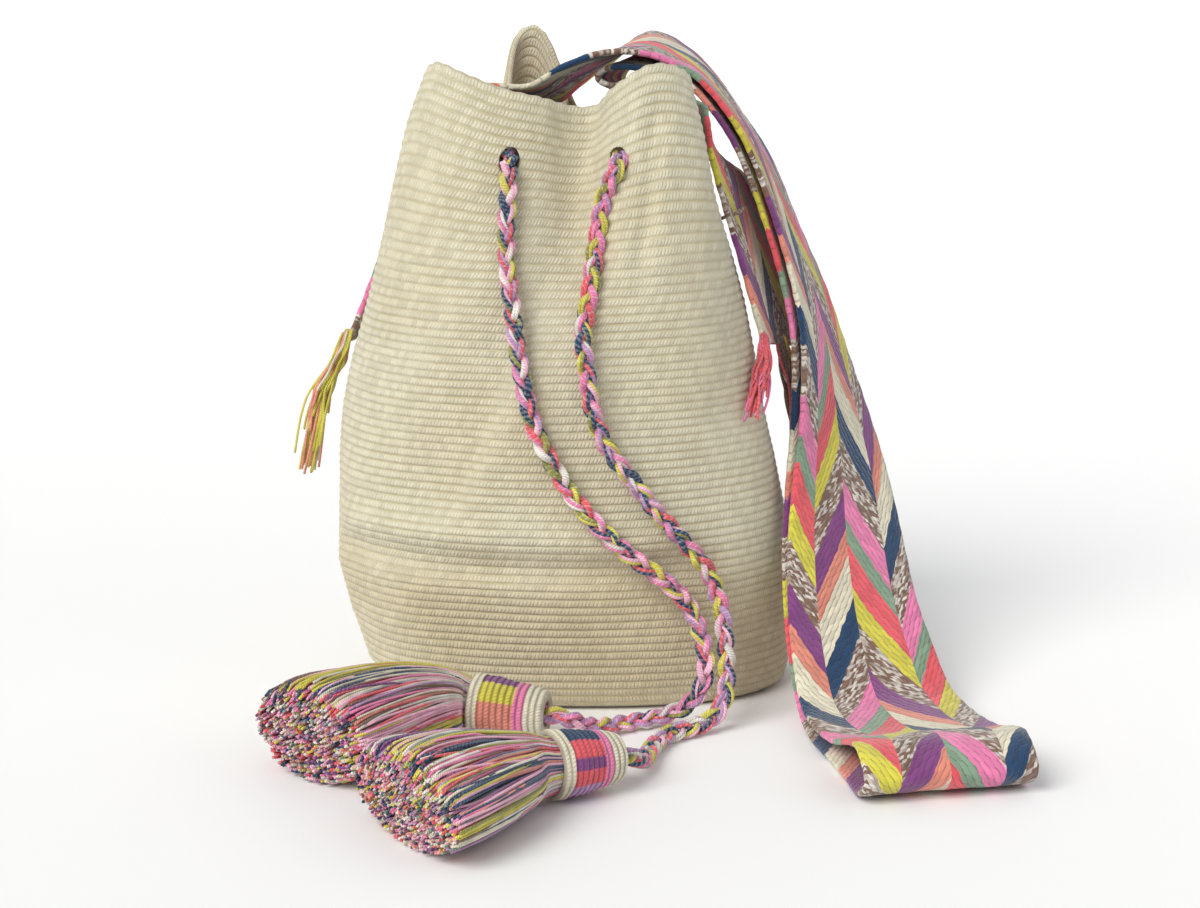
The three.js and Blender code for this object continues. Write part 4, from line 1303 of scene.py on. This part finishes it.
binding_yarn = yarn_material("binding_yarn", turn=2.0, fleck=0.1, colour=DYES["cream"])
winding("binding_back", BACK_CAP, "tassel_binding_back")
winding("binding_front", FRONT_CAP, "tassel_binding_front")
running_stitch("stitch_left", 164, 142, 0, 0, "strap_thread_left")
running_stitch("stitch_right", 0, 13.5, 2, 10, "strap_thread_right")

# %% [markdown]
# ## The fringe
#
# Past both sewn ends the strap's warp yarns hang loose. They are drawn as separate curly
# threads in bunches, each bunch with its own dyes, since a solid tuft would look like felt.

# %% Fringe
def fringe(name, start, bunches, seed):
    """Each bunch: its lane, the places it falls through, its spread, threads and dyes."""
    r = np.random.default_rng(seed)
    parts = []
    for lane, drops, spread, count, dyes in bunches:
        base = np.vstack([[0, 0, 4], drops]) + start[lane]
        for k in range(count):
            line = even_spline(base, np.linspace(0, 1, 26))
            length_share = r.uniform(0.62, 1.0)
            line = line[: int(26 * length_share) + 1]
            t = np.linspace(0, 1, len(line))
            off = r.normal(0, 1, 3) * spread * 0.5
            curl = r.uniform(0.6, 1.5)
            wav = np.stack([np.sin(t * r.uniform(5, 12) + r.uniform(0, 6)),
                            np.sin(t * r.uniform(5, 12) + r.uniform(0, 6)),
                            0.3 * np.sin(t * 9 + r.uniform(0, 6))], -1) * curl
            line = line + off * (0.35 + 0.65 * t[:, None]) + wav * smooth(0.0, 0.4, t)[:, None]
            dye = DYES[dyes[k % len(dyes)]] * r.uniform(0.9, 1.1)
            parts.append(tube_parts(line, r.uniform(0.6, 0.8), 5, np.clip(dye, 0, 1),
                                    start=r.uniform(0, 5)))
    ob = tubes(name, parts)
    ob.data.materials.append(tassel_yarn)
    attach(ob, "root")
    return ob


fringe_left = fringe("fringe_left", route[0], [
    (0, [(-4, -3, -8), (-11, -6, -20), (-15, -8, -34), (-21, -10, -66)], 5.2, 60,
     ["yellow", "yellow", "yellow", "yellow", "salmon", "cream"]),
    (2, [(-3, 2, -8), (-6, 3, -24), (-9, 4, -48)], 2.6, 12, ["brown", "white", "salmon"]),
    (3, [(-2, 3, -8), (-4, 5, -24), (-6, 7, -44)], 2.6, 10, ["navy", "pink"]),
    (5, [(-1, 3, -8), (-2, 6, -24), (-2, 8, -46)], 2.6, 10, ["coral", "purple"])], 21)
fringe_right = fringe("fringe_right", route[-1], [
    (0, [(0, -8, -8), (-3, -18, -17), (-7, -29, -31)], 5.5, 52, ["coral", "coral", "coral", "pink"]),
    (2, [(4, 1, -10), (8, 2, -30), (12, 3, -66)], 3.2, 16, ["brown", "white", "brown", "coral"]),
    (3, [(4, 1, -10), (7, 3, -28), (10, 4, -56)], 3.0, 14, ["yellow", "coral", "yellow"]),
    (5, [(3, 2, -10), (6, 5, -26), (9, 6, -46)], 2.6, 12, ["purple", "yellow"])], 22)

# %% [markdown]
# ## Floor and light
#
# A plain pale floor that sweeps up behind stands in for a studio table. A sun with a very
# wide disc acts like a large window at the upper left front: its shadows are soft, and it
# rakes over the ribs enough to show them. A faint lamp on the right and an even pale sky
# fill the dark side. A ring of area lamps would be softer still, but would flatten the knit.

# %% Floor and light
def stage_floor():
    rows_ = []
    for k in range(40):
        t = k / 39
        if t < 0.6:
            rows_.append((-2600 + t / 0.6 * 4200, -0.05))
        else:
            a = (t - 0.6) / 0.4 * math.pi / 2
            rows_.append((1600 + 900 * math.sin(a), 900 * (1 - math.cos(a)) - 0.05))
    rows_.append((2500, 2600))
    pts = np.array([(x, y, z) for y, z in rows_ for x in (-3500, 3500)], float)
    faces_ = [[2 * k, 2 * k + 1, 2 * k + 3, 2 * k + 2] for k in range(len(rows_) - 1)]
    ob = mesh_object("floor", pts, faces_)
    m = bpy.data.materials.new("pale_table")
    m.use_nodes = True
    s = m.node_tree.nodes["Principled BSDF"]
    s.inputs["Base Color"].default_value = (0.95, 0.95, 0.95, 1)
    s.inputs["Roughness"].default_value = 0.75
    ob.data.materials.append(m)
    return ob


def area_light(name, place, target, size, watts, colour):
    data = bpy.data.lights.new(name, "AREA")
    data.shape, data.size, data.size_y = "RECTANGLE", size[0], size[1]
    data.energy, data.color = watts, colour
    ob = bpy.data.objects.new(name, data)
    ob.location = place
    ob.rotation_euler = (Vector(target) - Vector(place)).to_track_quat("-Z", "Y").to_euler()
    bpy.context.scene.collection.objects.link(ob)
    return ob


floor_ob = stage_floor()
sun_data = bpy.data.lights.new("window_light", "SUN")
sun_data.energy, sun_data.angle = 2.3, math.radians(38)
sun_data.color = (1.0, 0.985, 0.95)
sun = bpy.data.objects.new("window_light", sun_data)
sun.rotation_euler = Vector((-0.50, -0.62, 0.66)).to_track_quat("Z", "Y").to_euler()
bpy.context.scene.collection.objects.link(sun)
area_light("side_light", (1.4, -0.8, 1.0), (0, 0, 0.1), (1.0, 1.0), 2, (0.97, 0.98, 1.0))
world = bpy.data.worlds.new("pale_sky")
bpy.context.scene.world = world
world.use_nodes = True
sky = world.node_tree.nodes["Background"]
sky.inputs["Color"].default_value = (0.95, 0.97, 1.0, 1)
sky.inputs["Strength"].default_value = 0.5
bpy.context.scene.view_settings.view_transform = "Standard"
